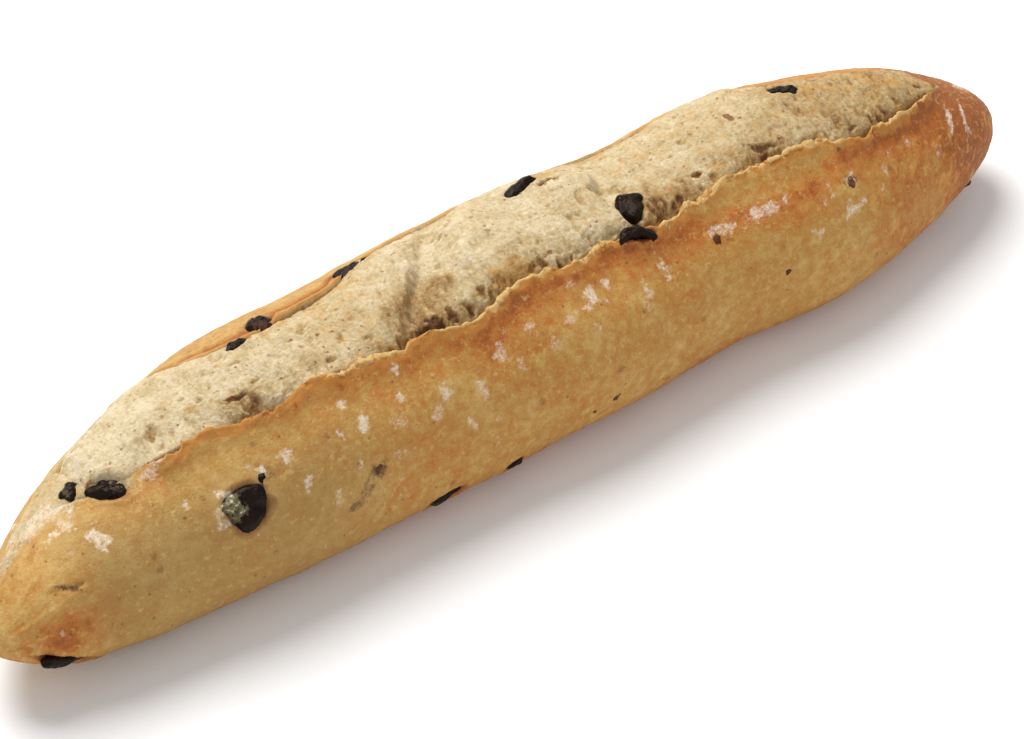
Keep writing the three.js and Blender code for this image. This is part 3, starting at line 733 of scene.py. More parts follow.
# ==== Crumb texture ====
def crumb_texture(points, fibre, torn):
    """Fine relief of torn crumb, and how deep in a hollow each point lies (0 to 1), which sets the painted
    shade that darkens the crumb there.

    fibre goes from 0 to 1 where the crumb was pulled into fibres beside the near lip, and torn where it
    has ripped open there.
    """
    warp = wander(points, 2.7, 11)
    bent = points + 0.9 * warp
    swell = 0.8 * layered(points, 13, 21, 2) + 0.4 * noise(bent, 5.2, 25)
    ripped = 0.32 * smooth((noise(bent, 3.4, 33) - 0.34) / 0.24)
    large_pores = hollows(bent, 3.2, 47, share=0.2, least=0.1, most=0.26)
    pores = 0.28 * hollows(bent, 1.5, 43, share=0.6) + 0.3 * large_pores
    slanted = points[..., 0] - FIBRE_SLANT * (points[..., 1] - points[..., 2])
    fibre_space = np.stack([2.6 * slanted, points[..., 1], points[..., 2]], -1)
    pulled = noise(fibre_space + 1.5 * warp, 4.6, 61) + 0.5 * noise(fibre_space, 2.0, 63)
    gaps = smooth((torn + 0.6 * pulled - 0.5) / 0.5)
    fine = blended(bent, CRUMPLES) - (ripped + pores) * (1 - 0.5 * fibre)
    fine = fine + (0.2 + 0.66 * fibre) * pulled - TORN_DEPTH * gaps
    for x, angle, length, width, turn, depth in HOLLOWS:
        reach = footprint(bent, place_on_loaf(x, angle, turn, 0), length, width, 0.5)
        opened = smooth(1.3 - reach)
        fine = fine - depth * opened
        gaps = np.maximum(gaps, opened * clamp01(depth - 0.5))
    deep = clamp01((-0.12 - fine) / 0.8)
    return swell + fine, clamp01(0.65 * deep + 0.4 * gaps)


def crumb_edges(x, from_near, from_far):
    """How far the crumb is sunk, so that it runs in under both lips and under the crust at both ends."""
    unfilled = smooth(crevice_depth(x) / CREVICE_DEPTH)
    under_ear = SINK_UNDER_EAR * (1 - smooth((from_near + TUCK_NEAR) / mix(1.5, 2.4, unfilled)))
    flush = SINK_BESIDE_EAR * (1 - rise(from_near, -TUCK_NEAR, 1.3))
    under_far = SINK_UNDER_FAR * (1 - smooth((from_far + TUCK_FAR - below_flap(x)) / 1.6))
    opened = rise(x, TROUGH_START, 7) * fall(x, CUT_END, 5)
    return mix(flush, under_ear, ear_open(x)) + under_far + SINK_AT_ENDS * (1 - opened)


def below_flap(x):
    return hump(x, FLAP_X, 15)


def make_crumb(material):
    """The dome of torn crumb that fills the cut."""
    x = even_stations(TROUGH_START - 1, CUT_END + 1, CRUMB_STATIONS)[:, None]
    near, far = near_lip(x), far_lip(x)
    mm_near, mm_far = mm_per_degree(x, near), mm_per_degree(x, far)
    tuck_near, tuck_far = TUCK_NEAR / mm_near, TUCK_FAR / mm_far
    v = np.linspace(0, 1, CRUMB_COLUMNS)[None]
    angle = near - tuck_near + (far - near + tuck_near + tuck_far) * v
    from_near = (angle - near) * mm_near
    from_far = (far - angle) * mm_far
    ear = ear_open(x)
    plain = surface(x, angle, 0 * angle)
    # Stringy stretches: fibres in the relief, and painted shade in the colour.
    stringy_and_shaded = spread_of(plain, STRINGY_AND_SHADED, 0.6, 1.6)
    fibre = ear * np.maximum(hump(from_near, 1.5, 4) * (0.6 + 0.5 * noise(plain, 12, 15)), stringy_and_shaded)
    torn = ear * hump(from_near, 2.6, 2.6) * tearing(x)
    fine, hollow_shade = crumb_texture(plain, fibre, torn)
    calm_edge = mix(0.25, 1, rise(from_near, -0.3, 2.5) * rise(from_far, -0.6, 2.5))
    calm_end = mix(0.6, 1, rise(x, -122, 26))
    clipped = np.clip(angle, near, far)
    ragged = x + blended(plain, ROLL_RAGGEDNESS)
    broad = crust_relief(x, clipped) + crumb_height(x, (clipped - near) / (far - near), ragged)
    height = broad + fine * calm_end * calm_edge - crumb_edges(x, from_near, from_far)
    around_olives, by_olive = pockets(surface(x, angle, height))
    height = height + around_olives
    top = surface(x, angle, height)
    attributes = {
        "crumb": np.ones_like(angle),
        # Painted shade in the crumb's hollows, and a painted shadow under the flap of the far lip.
        "hollow_shade": np.maximum(hollow_shade, 0.75 * below_flap(x) * bell(from_far / 0.8)),
        # Painted shade beside the near lip, deeper where the crevice is deeper.
        "crevice_shade": clamp01(1 - from_near / 4) * ear * smooth(crevice_depth(x) / 4.5),
        "toast": crumb_toast(x, from_far) + spread_of(plain, GOLDEN_SPOTS),
        "stringy_and_shaded": stringy_and_shaded,
        "stain": spread_of(top, CRUMB_STAINS),
        "flour": 0.5 * flour_cover(top),
        "by_olive": by_olive,
    }
    for name, values in attributes.items():
        attributes[name] = np.concatenate([values[:, :1], values, values[:, -1:]], 1)
    sides = (slice(1), slice(-1, None))
    skirts = [surface(x, angle[:, side], height[:, side] - SKIRT_DEPTH) for side in sides]
    points = np.concatenate([skirts[0], top, skirts[1]], 1)
    return tube_object("crumb", points, points[[0, -1]].mean(1), attributes, material)


def tearing(x):
    """How badly the crumb has ripped away from the near lip, from about 0.3 to 1."""
    extra = crevice_depth(x) - CREVICE_DEPTH
    return clamp01(0.3 + 0.2 * extra + blended_along(x, TEARING))


def crumb_toast(x, from_far):
    """How browned the crumb is: most beside the far lip and towards the right end."""
    ends = 0.35 * rise(x, 70, 70) - 0.35 * fall(x, -80, 40)
    return 0.4 * bell(from_far / 2.5) + ends + 0.3 * hump(x, -48, 15) + 0.3 * hump(x, 62, 22)


# ==== Crust ====
def flour_cover(points):
    """Flour, from 0 to 1, from the listed patches and patches scattered over the hidden side."""
    rng = np.random.default_rng(FLOUR_SEED)
    patches = list(FLOUR)
    for _ in range(HIDDEN_FLOUR):
        spot = (rng.uniform(-135, 135), rng.uniform(135, 215))
        size = (rng.uniform(1.5, 4), rng.uniform(2, 6))
        patches.append((*spot, *size, rng.uniform(-30, 30), rng.uniform(0.4, 1)))
    return spread_of(points, patches, 0.9, 1.55)


def lip_line(x):
    """The near lip with its ragged edge, in degrees."""
    near = near_lip(x)
    chipped = smooth((noise_along(x, 13, 84) + 0.15) / 0.2)
    chips = 0.7 * smooth((noise_along(x, 3.7, 83) - 0.1) / 0.12) * chipped
    return near + ear_open(x) * (blended_along(x, LIP_RAGGEDNESS) - chips) / mm_per_degree(x, near)


def lip_peak(x):
    """Height of the near lip where it is fully raised."""
    return EAR_HEIGHT * (1 + blended_along(x, LIP_UNEVENNESS))


def crust_columns(x):
    """Angles, heights and crumb-coloured shares of the rings of crust, and where both lips are."""
    near, far = lip_line(x), far_lip(x)
    mm_near, mm_far = mm_per_degree(x, near), mm_per_degree(x, far)
    ear, peak = ear_open(x), lip_peak(x)
    opened = rise(x, TROUGH_START, 6) * fall(x, CUT_END, 5)
    low = TROUGH_DEPTH * opened
    columns = []

    def add(angle, height, crumb):
        columns.append((angle, height, crumb + 0 * x))

    def stretch(start, end, count, raised):
        for i in range(count):
            angle = start + (end - start) * i / count
            add(angle, crust_relief(x, angle) + raised(angle), 0)

    def ear_rise(angle):
        rounding = EAR_ROUNDING * bell((near - angle) * mm_near / EAR_ROUNDING_WIDTH)
        swell = clamp01(1 - (near - angle) / EAR_BASE) ** EAR_CURVE
        return ear * peak * (swell - rounding)

    def flap_rise(angle):
        return flap_height(x, angle - far)

    stretch(-90.0, NEAR_FOOT, UNDERSIDE_COLUMNS, ear_rise)
    stretch(NEAR_FOOT, near - EAR_BASE, NEAR_COLUMNS, ear_rise)
    stretch(near - EAR_BASE, near - 0.2 / mm_near, EAR_COLUMNS, ear_rise)
    top = crust_relief(x, near)
    for i, (past, share, crumb) in enumerate(EAR_EDGE):
        add(near + (ear * past + 0.02 * i) / mm_near, top + ear * peak * share, crumb)
    for i, (past, share) in enumerate(EAR_INSIDE):
        add(near + (ear * past + 0.12 + 0.05 * i) / mm_near, top - low * share, 1)
    for v in np.linspace(0, 1, TROUGH_COLUMNS):
        angle = mix(near + (0.6 * ear + 0.4) / mm_near, far - 0.7 / mm_far, v)
        add(angle, mix(broad_relief(x, angle), crust_relief(x, angle) - low, opened), 1)
    for past, sunk, raised, crumb in FAR_EDGE:
        height = raised * flap_height(x, 0) - sunk * low
        add(far + past / mm_far, crust_relief(x, far) + height * opened, crumb)
    past_edge = FAR_EDGE_WIDTH / mm_far
    stretch(far + past_edge, FAR_FOOT + past_edge, FAR_COLUMNS, flap_rise)
    stretch(FAR_FOOT + past_edge, 270, FAR_UNDERSIDE_COLUMNS, flap_rise)
    angle, height, crumb = (np.stack([np.broadcast_to(c[k], x.shape) for c in columns], 1) for k in range(3))
    within_cut = rise(x, CRUMB_COLOUR_START, 10) * fall(x, CUT_END, 3)
    return angle, height, crumb * within_cut[:, None], near, far


def wrinkling(points, x, angle):
    """Slanting wrinkles of the crust, -1 in a crease to 1 on a ridge, and how strong they are there."""
    round_it = AROUND_RADIUS * np.radians(angle)
    across = 0.86 * round_it - 0.51 * x + 1.6 * noise(points, 5, 94)
    along = 0.51 * round_it + 0.86 * x
    lines = np.stack([across, 0.3 * along, 0 * along], -1)
    creases = 1 - 4 * np.abs(noise(lines, 2.8, 95)) + 0.5 * noise(points, 1.6, 96)
    strength = 0.5 * rise(x, 96, 36) + 0.45 * fall(x, -128, 18)
    return creases, strength


def gilded(points, x, angle):
    """Short golden streaks that run round the loaf, mostly towards its right end, from 0 to 1."""
    round_it = AROUND_RADIUS * np.radians(angle)
    across = x - 0.3 * round_it + 0.8 * noise(points, 4, 121)
    lines = np.stack([across, 0.24 * (round_it + 0.3 * x), 0 * angle], -1)
    marks = smooth((noise(lines, 2.3, 123) + 0.6 * noise(points, 6, 125) - 0.26) / 0.22)
    return marks * (0.15 + 0.85 * rise(x, 78, 26) * fall(angle, 56, 16))


def folding(base):
    """Height of the folds at the left tip."""
    height = np.zeros(base.shape[:-1])
    close = base[..., 0] < FOLDS_END
    spots = base[close]
    spots = spots + 0.7 * wander(spots, 3.1, 141)
    total = np.zeros(len(spots))
    for *ends, half, raised in FOLDS:
        start, end = (surface(np.float64(x), np.float64(angle), 0.0) for x, angle in ends)
        way = end - start
        t = clamp01((spots - start) @ way / (way @ way))
        away = np.linalg.norm(spots - start - t[:, None] * way, axis=-1)
        total = total + raised * bell(away / half)
    height[close] = total
    return height


def crust_texture(points, angle, x):
    """Fine relief of the crust: blisters, wrinkles towards the tips and small pits."""
    blisters = 0.13 * layered(points, 2.8, 91, 3, 0.65)
    swell = 0.3 * noise(points, 9, 93)
    creases, strength = wrinkling(points, x, angle)
    pits = hollows(points, 5.5, 97, share=0.35, least=0.05, most=0.13)
    return swell + blisters + 0.14 * strength * creases - 0.35 * pits


def toasting(points, x, angle, before_lip, past_far):
    """How brown the crust is baked, from 0 pale to 1 dark, with painted shade along the flap's fold."""
    base = 0.43 + 0.13 * layered(points, 16, 101, 3) - 0.08 * fall(x, -60, 50)
    ends = right_browning(x, angle) + left_browning(points, x, angle)
    foot = 0.3 * hump(angle, -40, 13) + 0.25 * hump(angle, 218, 16)
    lines = np.stack([0.22 * x + 0 * angle, 0.5 * angle, 0 * angle], -1)
    flap = (0.3 * noise(lines, 1.1, 127) - 0.12) * hump(past_far, 3, 7) * fall(x, 100, 20)
    # Painted shade along the bottom of the flap's fold.
    flap = flap + 0.9 * flap_fold(x, past_far)
    return base + lip_browning(points, x, before_lip) + ends + foot + cut_open(x) * flap


def lip_browning(points, x, before_lip):
    """The dark band below the near lip."""
    uneven = clamp01(lip_toast(x) + 0.35 * noise(points, 7, 103))
    below = before_lip - toast_place(x) - 1.2 * noise(points, 5, 104)
    wide = mix(0.35, 1, rise(x, -75, 35))
    band = 0.75 * bell(below / 2.3) + 0.5 * hump(below, 2.5, 6) * wide
    rough = 1 + 0.3 * noise(points, 2.6, 109) + 0.15 * noise(points, 1.2, 110)
    return 0.38 * ear_open(x) * band * uneven * rough


def right_browning(x, angle):
    side = 0.7 + 0.3 * rise(angle, 5, 50)
    browned = 0.27 * rise(x, 84, 30) * side + 0.27 * rise(x, 116, 18)
    return browned * (1 - 0.75 * rise(angle, 96, 24) * fall(x, 136, 12))


def left_browning(points, x, angle):
    patchy = 1 + 0.35 * noise(points, 5, 113)
    browned = 0.42 * hump(x, -138, 11) * hump(angle, 12, 28) * patchy
    return browned - 0.06 * hump(x, 72, 20) * hump(angle, 20, 25)


def flap_fold(x, past_far):
    """The fold that runs along the flap of the far lip: 1 at its bottom."""
    along = rise(x, -92, 8) * fall(x, -30, 8)
    return along * bell((past_far - FOLD_PLACE - 0.9 * noise_along(x, 10, 119)) / FOLD_WIDTH)


def shaded_and_dulled(x, before_lip, past_far):
    """Where the crust is greyer: low on the left half of the near side as painted shade, and a little beside
    the far lip as its own tone.
    """
    low_down = 0.3 + 0.7 * rise(before_lip, 5, 10)
    near_side = 1.25 * fall(x, -45, 35) * rise(x, -140, 14) * low_down
    far_side = 0.4 * hump(past_far, 3, 9) * fall(x, 70, 60)
    return np.maximum(near_side, far_side)


def make_crust(material):
    """The whole crust, with the ear, the far lip and a trough that the crumb fills."""
    x = even_stations(-LENGTH / 2, LENGTH / 2, CRUST_STATIONS)
    angle, height, crumb, near, far = crust_columns(x)
    x, near, far = x[:, None], near[:, None], far[:, None]
    base = surface(x, angle, height)
    plain = surface(x, angle, 0 * angle)
    mm, ear = mm_per_degree(x, angle), ear_open(x)
    before_lip, past_far = (near - angle) * mm, (angle - far) * mm
    # To the left of the ear the crumb runs out into the crust without an edge.
    loose = (1 - ear) * rise(x, CUT_START - 8, 8) * (x < 0)
    blur = before_lip + 2.2 * layered(plain, 5, 105, 3)
    runout = loose * (1 - rise(blur, -0.5, 3)) * (1 - rise(past_far, 0.5, 2))
    crumb = np.maximum(crumb, runout)
    crumbly, hollow_shade = crumb_texture(plain, 0 * angle, 0 * angle)
    flaky = 0.6 * ear * bell(before_lip / 2.6) * layered(plain, 1.8, 99, 2)
    calm = smooth((1 + np.sin(np.radians(angle))) / 0.35)
    fine = mix(crust_texture(plain, angle, x) + flaky, 0.35 * crumbly, crumb) * calm
    fine = fine - FOLD_DEPTH * flap_fold(x, past_far)
    folds = folding(base)
    around_olives, by_olive = pockets(base)
    around_olives = around_olives * np.maximum(smooth(before_lip / 1.6), rise(past_far, 0.4, 1.2))
    points = base + ring_normals(base) * (fine + folds + around_olives)[..., None]
    points[..., 2] = np.maximum(points[..., 2], 0)
    near_edge, far_edge, cream = lip_colours(plain, x, before_lip, past_far)
    creases, strength = wrinkling(plain, x, angle)
    attributes = {
        "crumb": crumb,
        # Painted shade in the hollows of the crumb-coloured parts.
        "hollow_shade": hollow_shade * crumb,
        # Painted shade in the crumb-coloured trough under the lips.
        "crevice_shade": 0.7 * crumb * ear,
        "toast": toasting(plain, x, angle, before_lip, past_far),
        "edge": near_edge,
        "far_edge": far_edge,
        "cream": cream * (angle < (near + far) / 2),
        "gilt": gilded(plain, x, angle),
        # Painted highlight on the wrinkles' ridges and painted shade in their creases.
        "wrinkle_light_and_shade": creases * strength + 1.2 * folds,
        # Painted shade low on the left of the near side, and a greyer tone beside the far lip.
        "shade_and_dull": shaded_and_dulled(x, before_lip, past_far),
        "stain": spread_of(base, STAINS, 0.5, 1.5),
        "flour": flour_cover(base),
        "by_olive": by_olive,
    }
    return tube_object("crust", points, [tip(-1), tip(1)], attributes, material)


def lip_colours(plain, x, before_lip, past_far):
    """How much of their own colour the near lip, the far lip and the crumbs on the near one show."""
    below = np.maximum(before_lip, 0)
    thick = np.maximum(1.7 + 2.2 * noise_along(x, 5, 107) + 2.2 * noise(plain, 1.8, 108), 0.2)
    near_edge = ear_open(x) * bell(below / thick) * rise(before_lip, -2.5, 1.5)
    far_edge = (0.7 + 0.5 * noise_along(x, 6, 117)) * hump(past_far, 0.6, 0.9)
    pale = np.maximum(0.6 + 1.1 * noise_along(x, 3, 114) + 1.1 * noise(plain, 1.2, 115), 0.05)
    return clamp01(near_edge), cut_open(x) * far_edge, smooth(2 * lip_crumb_size(x)) * bell(below / pale)


def make_lip_crumbs(material):
    """Torn crumb and flakes that cling to the near lip, as one strand of very uneven thickness."""
    x = np.linspace(EAR_START + 4, CUT_END - 4, LIP_STATIONS)[:, None]
    near = lip_line(x)
    mm = mm_per_degree(x, near)
    thick = STRAND_SHARE * lip_crumb_size(x) * clamp01(0.56 + blended_along(x, LIP_CLUMPS))
    turn = np.linspace(0, 2 * math.pi, LIP_COLUMNS, endpoint=False)[None]
    inset = near + 0.1 / mm
    top = crust_relief(x, near) + (1 - EAR_ROUNDING) * ear_open(x) * lip_peak(x) - 0.3
    middle = surface(x, inset, top)
    ring = surface(x, inset - STRAND_FLATNESS * thick * np.cos(turn) / mm, top + thick * np.sin(turn))
    rough = blended(ring, CLUMP_ROUGHNESS)
    points = middle + (ring - middle) * np.maximum(1 + rough, 0.3)[..., None]
    torn = clamp01(0.3 + 0.8 * thick + 0.6 * noise(ring, 2.4, 166))
    attributes = {
        "crumb": 0.35 * torn,
        # Painted shade where the clumps dip.
        "hollow_shade": clamp01(-0.3 * rough),
        "toast": 0.6 - 0.2 * thick + 0.5 * noise(ring, 3, 167),
        "edge": 0.9 + 0 * torn,
        "cream": torn,
    }
    return tube_object("lip_crumbs", points, middle[[0, -1], 0], attributes, material)


# ==== Olives ====
def lump(size, phase, levels, rough, lobes=0.04, turned=0, taper=0.0, bend=0.0, square=SQUARENESS):
    """An uneven, slightly squared lump of size (length, width, thickness): its vertices and triangles.

    The third thing it returns is how near to the middle each vertex lies, seen from above.
    """
    bm = bmesh.new()
    bmesh.ops.create_icosphere(bm, subdivisions=levels, radius=1)
    p = np.array([v.co[:] for v in bm.verts])
    triangles = np.array([[v.index for v in f.verts] for f in bm.faces])
    bm.free()
    px, py, pz = p.T
    round_it = np.arctan2(py, px)
    wave = np.sin(3.1 * px + phase) * np.cos(2.7 * py - phase) + np.sin(2.3 * pz + 2 * phase)
    lobed = lobes * np.cos(3 * (round_it - math.radians(turned))) + 0.04 * np.cos(5 * round_it + phase)
    squared = np.sign(p) * np.abs(p) ** square * (1 + WOBBLE * wave + lobed)[:, None] / 2
    squared[:, 1] *= 1 + 2 * taper * squared[:, 0]
    verts = squared * size
    verts[:, 1] -= bend * (verts[:, 0] ** 2 - size[0] ** 2 / 12)
    mean = (size[0] + size[1]) / 2
    broad = 0.11 * mean * noise(verts, 0.45 * mean, 151 + 3 * phase)
    fine = layered(verts, 2.4, 111 + 7 * phase, 3) - 0.6 * hollows(verts, 2.2, 131 + phase, share=0.5)
    bumps = broad + rough * fine
    return verts + p * bumps[:, None], triangles, bell(np.hypot(px, py) / 0.5)


def transformed(verts, place):
    return verts @ np.array(place.to_3x3()).T + np.array(place.translation)


def flesh_object(name, verts, triangles, attributes, material):
    obj = mesh_object(name, verts * MM, np.zeros((0, 4), int), triangles, attributes, material)
    return obj


def make_olives(material):
    """One piece for each olive node of the frame."""
    for i, (x, angle, *size, turn, sink) in enumerate(OLIVES):
        verts, triangles, middle = lump(size, i, 5, OLIVE_ROUGHNESS, **OLIVE_SHAPES.get(i, {}))
        verts = transformed(verts, place_on_loaf(x, angle, turn, sink))
        name = f"olive_{i + 1:02d}"
        tone = np.full(len(verts), BROWNER.get(i, (i * 0.37) % 0.6))
        attributes = {"flour": flour_cover(verts), "tone": tone, "middle": middle}
        piece = flesh_object(name + "_flesh", verts, triangles, attributes, material)
        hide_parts(name)


def make_bits(material):
    """The small bits of olive, joined into one piece."""
    all_verts, all_triangles, tones = [], [], []
    for i, (x, angle, length, width, turn) in enumerate(BITS):
        verts, triangles, _ = lump((length, width, BIT_THICKNESS), 20 + i, 4, BIT_ROUGHNESS)
        all_triangles.append(triangles + i * len(verts))
        all_verts.append(transformed(verts, place_on_loaf(x, angle, turn, BIT_SINK)))
        tones.append(np.full(len(verts), BROWN_TONE if length < BROWN_BIT else (i * 0.61) % 1))
    verts = np.concatenate(all_verts)
    attributes = {"flour": 0.7 * flour_cover(verts), "tone": np.concatenate(tones)}
    flesh_object("olive_bits", verts, np.concatenate(all_triangles), attributes, material)


# ==== Materials ====
def colour(red, green, blue):
    """A screen colour of 0 to 255 as the linear colour that a shader takes."""
    linear = [((c / 255 + 0.055) / 1.055) ** 2.4 if c > 10 else c / 255 / 12.92 for c in (red, green, blue)]
    return (*linear, 1.0)


class Shader:
    """A material's nodes, added one call at a time."""

    def __init__(self, name):
        self.material = bpy.data.materials.new(name)
        self.material.use_nodes = True
        self.tree = self.material.node_tree
        self.principled = self.tree.nodes["Principled BSDF"]
        self.place = self.node("ShaderNodeTexCoord", {}).outputs["Object"]

    def feed(self, sockets, values):
        """Sets sockets to values, or links them where a value comes from another node."""
        for key, value in values.items():
            if isinstance(value, bpy.types.NodeSocket):
                self.tree.links.new(value, sockets[key])
            else:
                sockets[key].default_value = value

    def node(self, kind, values, **settings):
        made = self.tree.nodes.new(kind)
        for key, value in settings.items():
            setattr(made, key, value)
        self.feed(made.inputs, values)
        return made

    def attribute(self, name):
        return self.node("ShaderNodeAttribute", {}, attribute_name=name).outputs["Fac"]

    def math(self, operation, a, b):
        return self.node("ShaderNodeMath", {0: a, 1: b}, operation=operation).outputs[0]

    def times(self, a, b):
        return self.math("MULTIPLY", a, b)

    def sum(self, total, *terms):
        """A total with terms added, each of them a number or a value and its weight."""
        for term in terms:
            total = self.math("ADD", total, self.times(*term) if isinstance(term, tuple) else term)
        return total

    def range(self, value, low, high, most=1.0):
        """From 0, where the value is low, smoothly to most, where it is high."""
        values = {0: value, 1: low, 2: high, 3: 0.0, 4: most}
        return self.node("ShaderNodeMapRange", values, interpolation_type="SMOOTHSTEP").outputs[0]

    def mix(self, factor, a, b):
        return self.node("ShaderNodeMix", {0: factor, 6: a, 7: b}, data_type="RGBA").outputs[2]

    def tint(self, base, shade, value, low, high, most=1.0):
        """A base colour that takes on a shade as the value goes from low to high."""
        return self.mix(self.range(value, low, high, most), base, shade)

    def ramp(self, value, stops):
        made = self.node("ShaderNodeValToRGB", {0: value})
        band = made.color_ramp
        while len(band.elements) < len(stops):
            band.elements.new(1.0)
        for element, (position, *shade) in zip(band.elements, stops):
            element.position = position
            element.color = colour(*shade)
        return made.outputs[0]

    def noise(self, size_mm, detail=2.0, rough=0.5, stretch=(1, 1, 1), shift=0.0, turn=0.0):
        """Noise centred on 0, from about -0.5 to 0.5, stretched and turned about Z (degrees)."""
        turned = (0, 0, math.radians(turn))
        values = {"Vector": self.place, "Location": (shift,) * 3, "Scale": stretch, "Rotation": turned}
        place = self.node("ShaderNodeMapping", values).outputs[0]
        values = {"Vector": place, "Scale": 1 / (size_mm * MM), "Detail": detail, "Roughness": rough}
        return self.math("SUBTRACT", self.node("ShaderNodeTexNoise", values).outputs["Fac"], 0.5)

    def cells(self, size_mm):
        """Distance from the nearest of scattered points, in cells, and that point's own random number."""
        made = self.node("ShaderNodeTexVoronoi", {"Vector": self.place, "Scale": 1 / (size_mm * MM)})
        draw = self.node("ShaderNodeSeparateColor", {0: made.outputs["Color"]})
        return made.outputs["Distance"], draw.outputs[0]

    def bump(self, height, depth_mm, strength):
        values = {"Height": height, "Distance": depth_mm * MM, "Strength": strength}
        return self.node("ShaderNodeBump", values).outputs[0]

    def dressed(self, values):
        """The material, once its surface has been given these values."""
        self.feed(self.principled.inputs, values)
        return self.material


# Crust colours from pale to dark: (place on the scale, red, green, blue).
CRUST_STOPS = [
    (0.0, 208, 174, 108), (0.26, 195, 154, 86), (0.45, 185, 136, 67), (0.64, 183, 119, 52),
    (0.82, 174, 98, 36), (1.0, 150, 84, 34),
]
# Crumb colours from the ridges down into the hollows; the dark end is painted shade as well as browning.
CRUMB_STOPS = [
    (0.0, 214, 198, 165), (0.26, 189, 166, 123), (0.52, 162, 131, 85), (0.78, 134, 99, 60),
    (1.0, 96, 64, 38),
]
# Olive flesh, from black to reddish brown.
OLIVE_STOPS = [(0.0, 10, 6, 6), (0.6, 26, 16, 13), (1.0, 96, 56, 38)]
CREAM_COLOUR = colour(210, 174, 110)
RIM_COLOUR = colour(188, 126, 54)
FAR_RIM_COLOUR = colour(182, 130, 62)
GOLD_COLOUR = colour(216, 160, 76)
FLOUR_COLOUR = colour(232, 216, 192)
FLECK_COLOUR = colour(212, 174, 104)
SHADE_AND_DULL_COLOUR = colour(152, 122, 70)
SPECK_COLOUR = colour(104, 56, 32)
STAIN_COLOUR = colour(84, 60, 42)
RUST_COLOUR = colour(122, 68, 38)
CRUMB_GOLD = colour(200, 152, 78)
BRAN_COLOUR = colour(140, 100, 58)
OLIVE_MIDDLE = colour(70, 42, 30)
OLIVE_DUST = colour(124, 116, 86)
OLIVE_SHEEN = (1.0, 0.8, 0.62, 1.0)
FLOOR_COLOUR = (0.93, 0.93, 0.93, 1.0)
# Brown freckles of the crust: (spacing, share of places left out, strength, colour).
FRECKLES = [
    (2.4, 0.87, 0.6, SPECK_COLOUR), (1.1, 0.87, 0.45, SPECK_COLOUR), (5.5, 0.84, 0.5, RUST_COLOUR),
]
# Specks of bran in the crumb, in the same way.
BRAN = [(2.2, 0.7, 0.7, RUST_COLOUR), (3.7, 0.62, 0.6, BRAN_COLOUR), (1.3, 0.72, 0.55, BRAN_COLOUR)]
STREAK_TURN = 20  # degrees by which the crumb's streaks lean from straight across the loaf
STREAK_STRETCH = (1.7, 0.6, 0.6)


def freckled(s, base, grain, freckles):
    """A base colour with scattered specks over it."""
    for size, share, strength, shade in freckles:
        distance, draw = s.cells(size)
        spot = s.range(s.sum(distance, (grain, 0.5)), 0.22, 0.08)
        there = s.range(draw, share, share + 0.01)
        base = s.mix(s.times(s.times(spot, there), strength), base, shade)
    return base


def crust_colour(s, toast, mottle, grain):
    """Baked crust, with its streaks, freckles and stains and the colours beside olives and lips."""
    clouds = s.noise(11, 2, 0.5, shift=3.1)
    speckle = s.noise(0.42, 2, 0.6, shift=9.2)
    browned = s.sum(toast, (mottle, 0.95), (grain, 0.5), (clouds, 0.35), (speckle, 0.3))
    # Paler on wrinkle ridges and darker in creases: painted light and shade.
    shade = s.ramp(s.math("SUBTRACT", browned, s.times(s.attribute("wrinkle_light_and_shade"), 0.08)), CRUST_STOPS)
    shade = s.tint(shade, GOLD_COLOUR, s.sum(s.attribute("gilt"), grain), 0.3, 0.9, 0.42)
    # Painted shade low on the left of the near side, and a greyer tone beside the far lip.
    shade = s.mix(s.times(s.attribute("shade_and_dull"), 0.42), shade, SHADE_AND_DULL_COLOUR)
    pale = s.sum(s.noise(1.5, 3, 0.65, shift=4.4), (clouds, 0.3))
    shade = s.tint(shade, FLECK_COLOUR, pale, 0.05, 0.24, 0.6)
    shade = freckled(s, shade, grain, FRECKLES)
    stain = s.sum(s.attribute("stain"), (mottle, 0.9), (grain, 0.7))
    shade = s.tint(shade, STAIN_COLOUR, stain, 0.3, 0.9, 0.85)
    shade = s.tint(shade, RUST_COLOUR, s.sum(s.attribute("by_olive"), (mottle, 0.8)), 0.3, 1.0, 0.5)
    edge = s.sum(s.attribute("edge"), (grain, 0.5), (mottle, 0.3))
    shade = s.tint(shade, RIM_COLOUR, edge, 0.25, 0.75, 0.9)
    shade = s.tint(shade, FAR_RIM_COLOUR, s.sum(s.attribute("far_edge"), (grain, 0.5)), 0.2, 0.7, 0.9)
    cream = s.sum(s.attribute("cream"), (grain, 0.7), (mottle, 0.4))
    return s.tint(shade, CREAM_COLOUR, cream, 0.3, 0.7, 0.9)


def crumb_colour(s, toast, grain):
    """Torn crumb, darker as painted shade in its hollows, beside the near lip and in stringy stretches, and
    golden or flecked in places.
    """
    stringy_and_shaded = s.attribute("stringy_and_shaded")
    streaks = s.noise(2.4, 3, 0.6, stretch=STREAK_STRETCH, shift=7.7, turn=STREAK_TURN)
    streaks = s.times(streaks, s.sum(s.times(stringy_and_shaded, 0.5), 0.38))
    # Painted shade in hollows, beside the near lip and in stringy stretches, added to the crumb's browning
    # and streaks.
    depth = s.sum(s.attribute("hollow_shade"), (s.attribute("crevice_shade"), 0.2), (toast, 0.22), (stringy_and_shaded, 0.42), streaks)
    tone = s.sum(depth, (s.noise(7, 2, 0.5, shift=6.1), 0.45), (s.noise(0.9, 4, 0.7), 0.8), 0.15)
    gold = s.sum(s.noise(3.5, 3, 0.6, shift=5.3), (toast, 0.35))
    shade = s.tint(s.ramp(tone, CRUMB_STOPS), CRUMB_GOLD, gold, 0.06, 0.26, 0.38)
    shade = freckled(s, shade, grain, BRAN)
    return s.tint(shade, RUST_COLOUR, s.sum(s.attribute("stain"), (grain, 0.8)), 0.3, 0.8, 0.85)


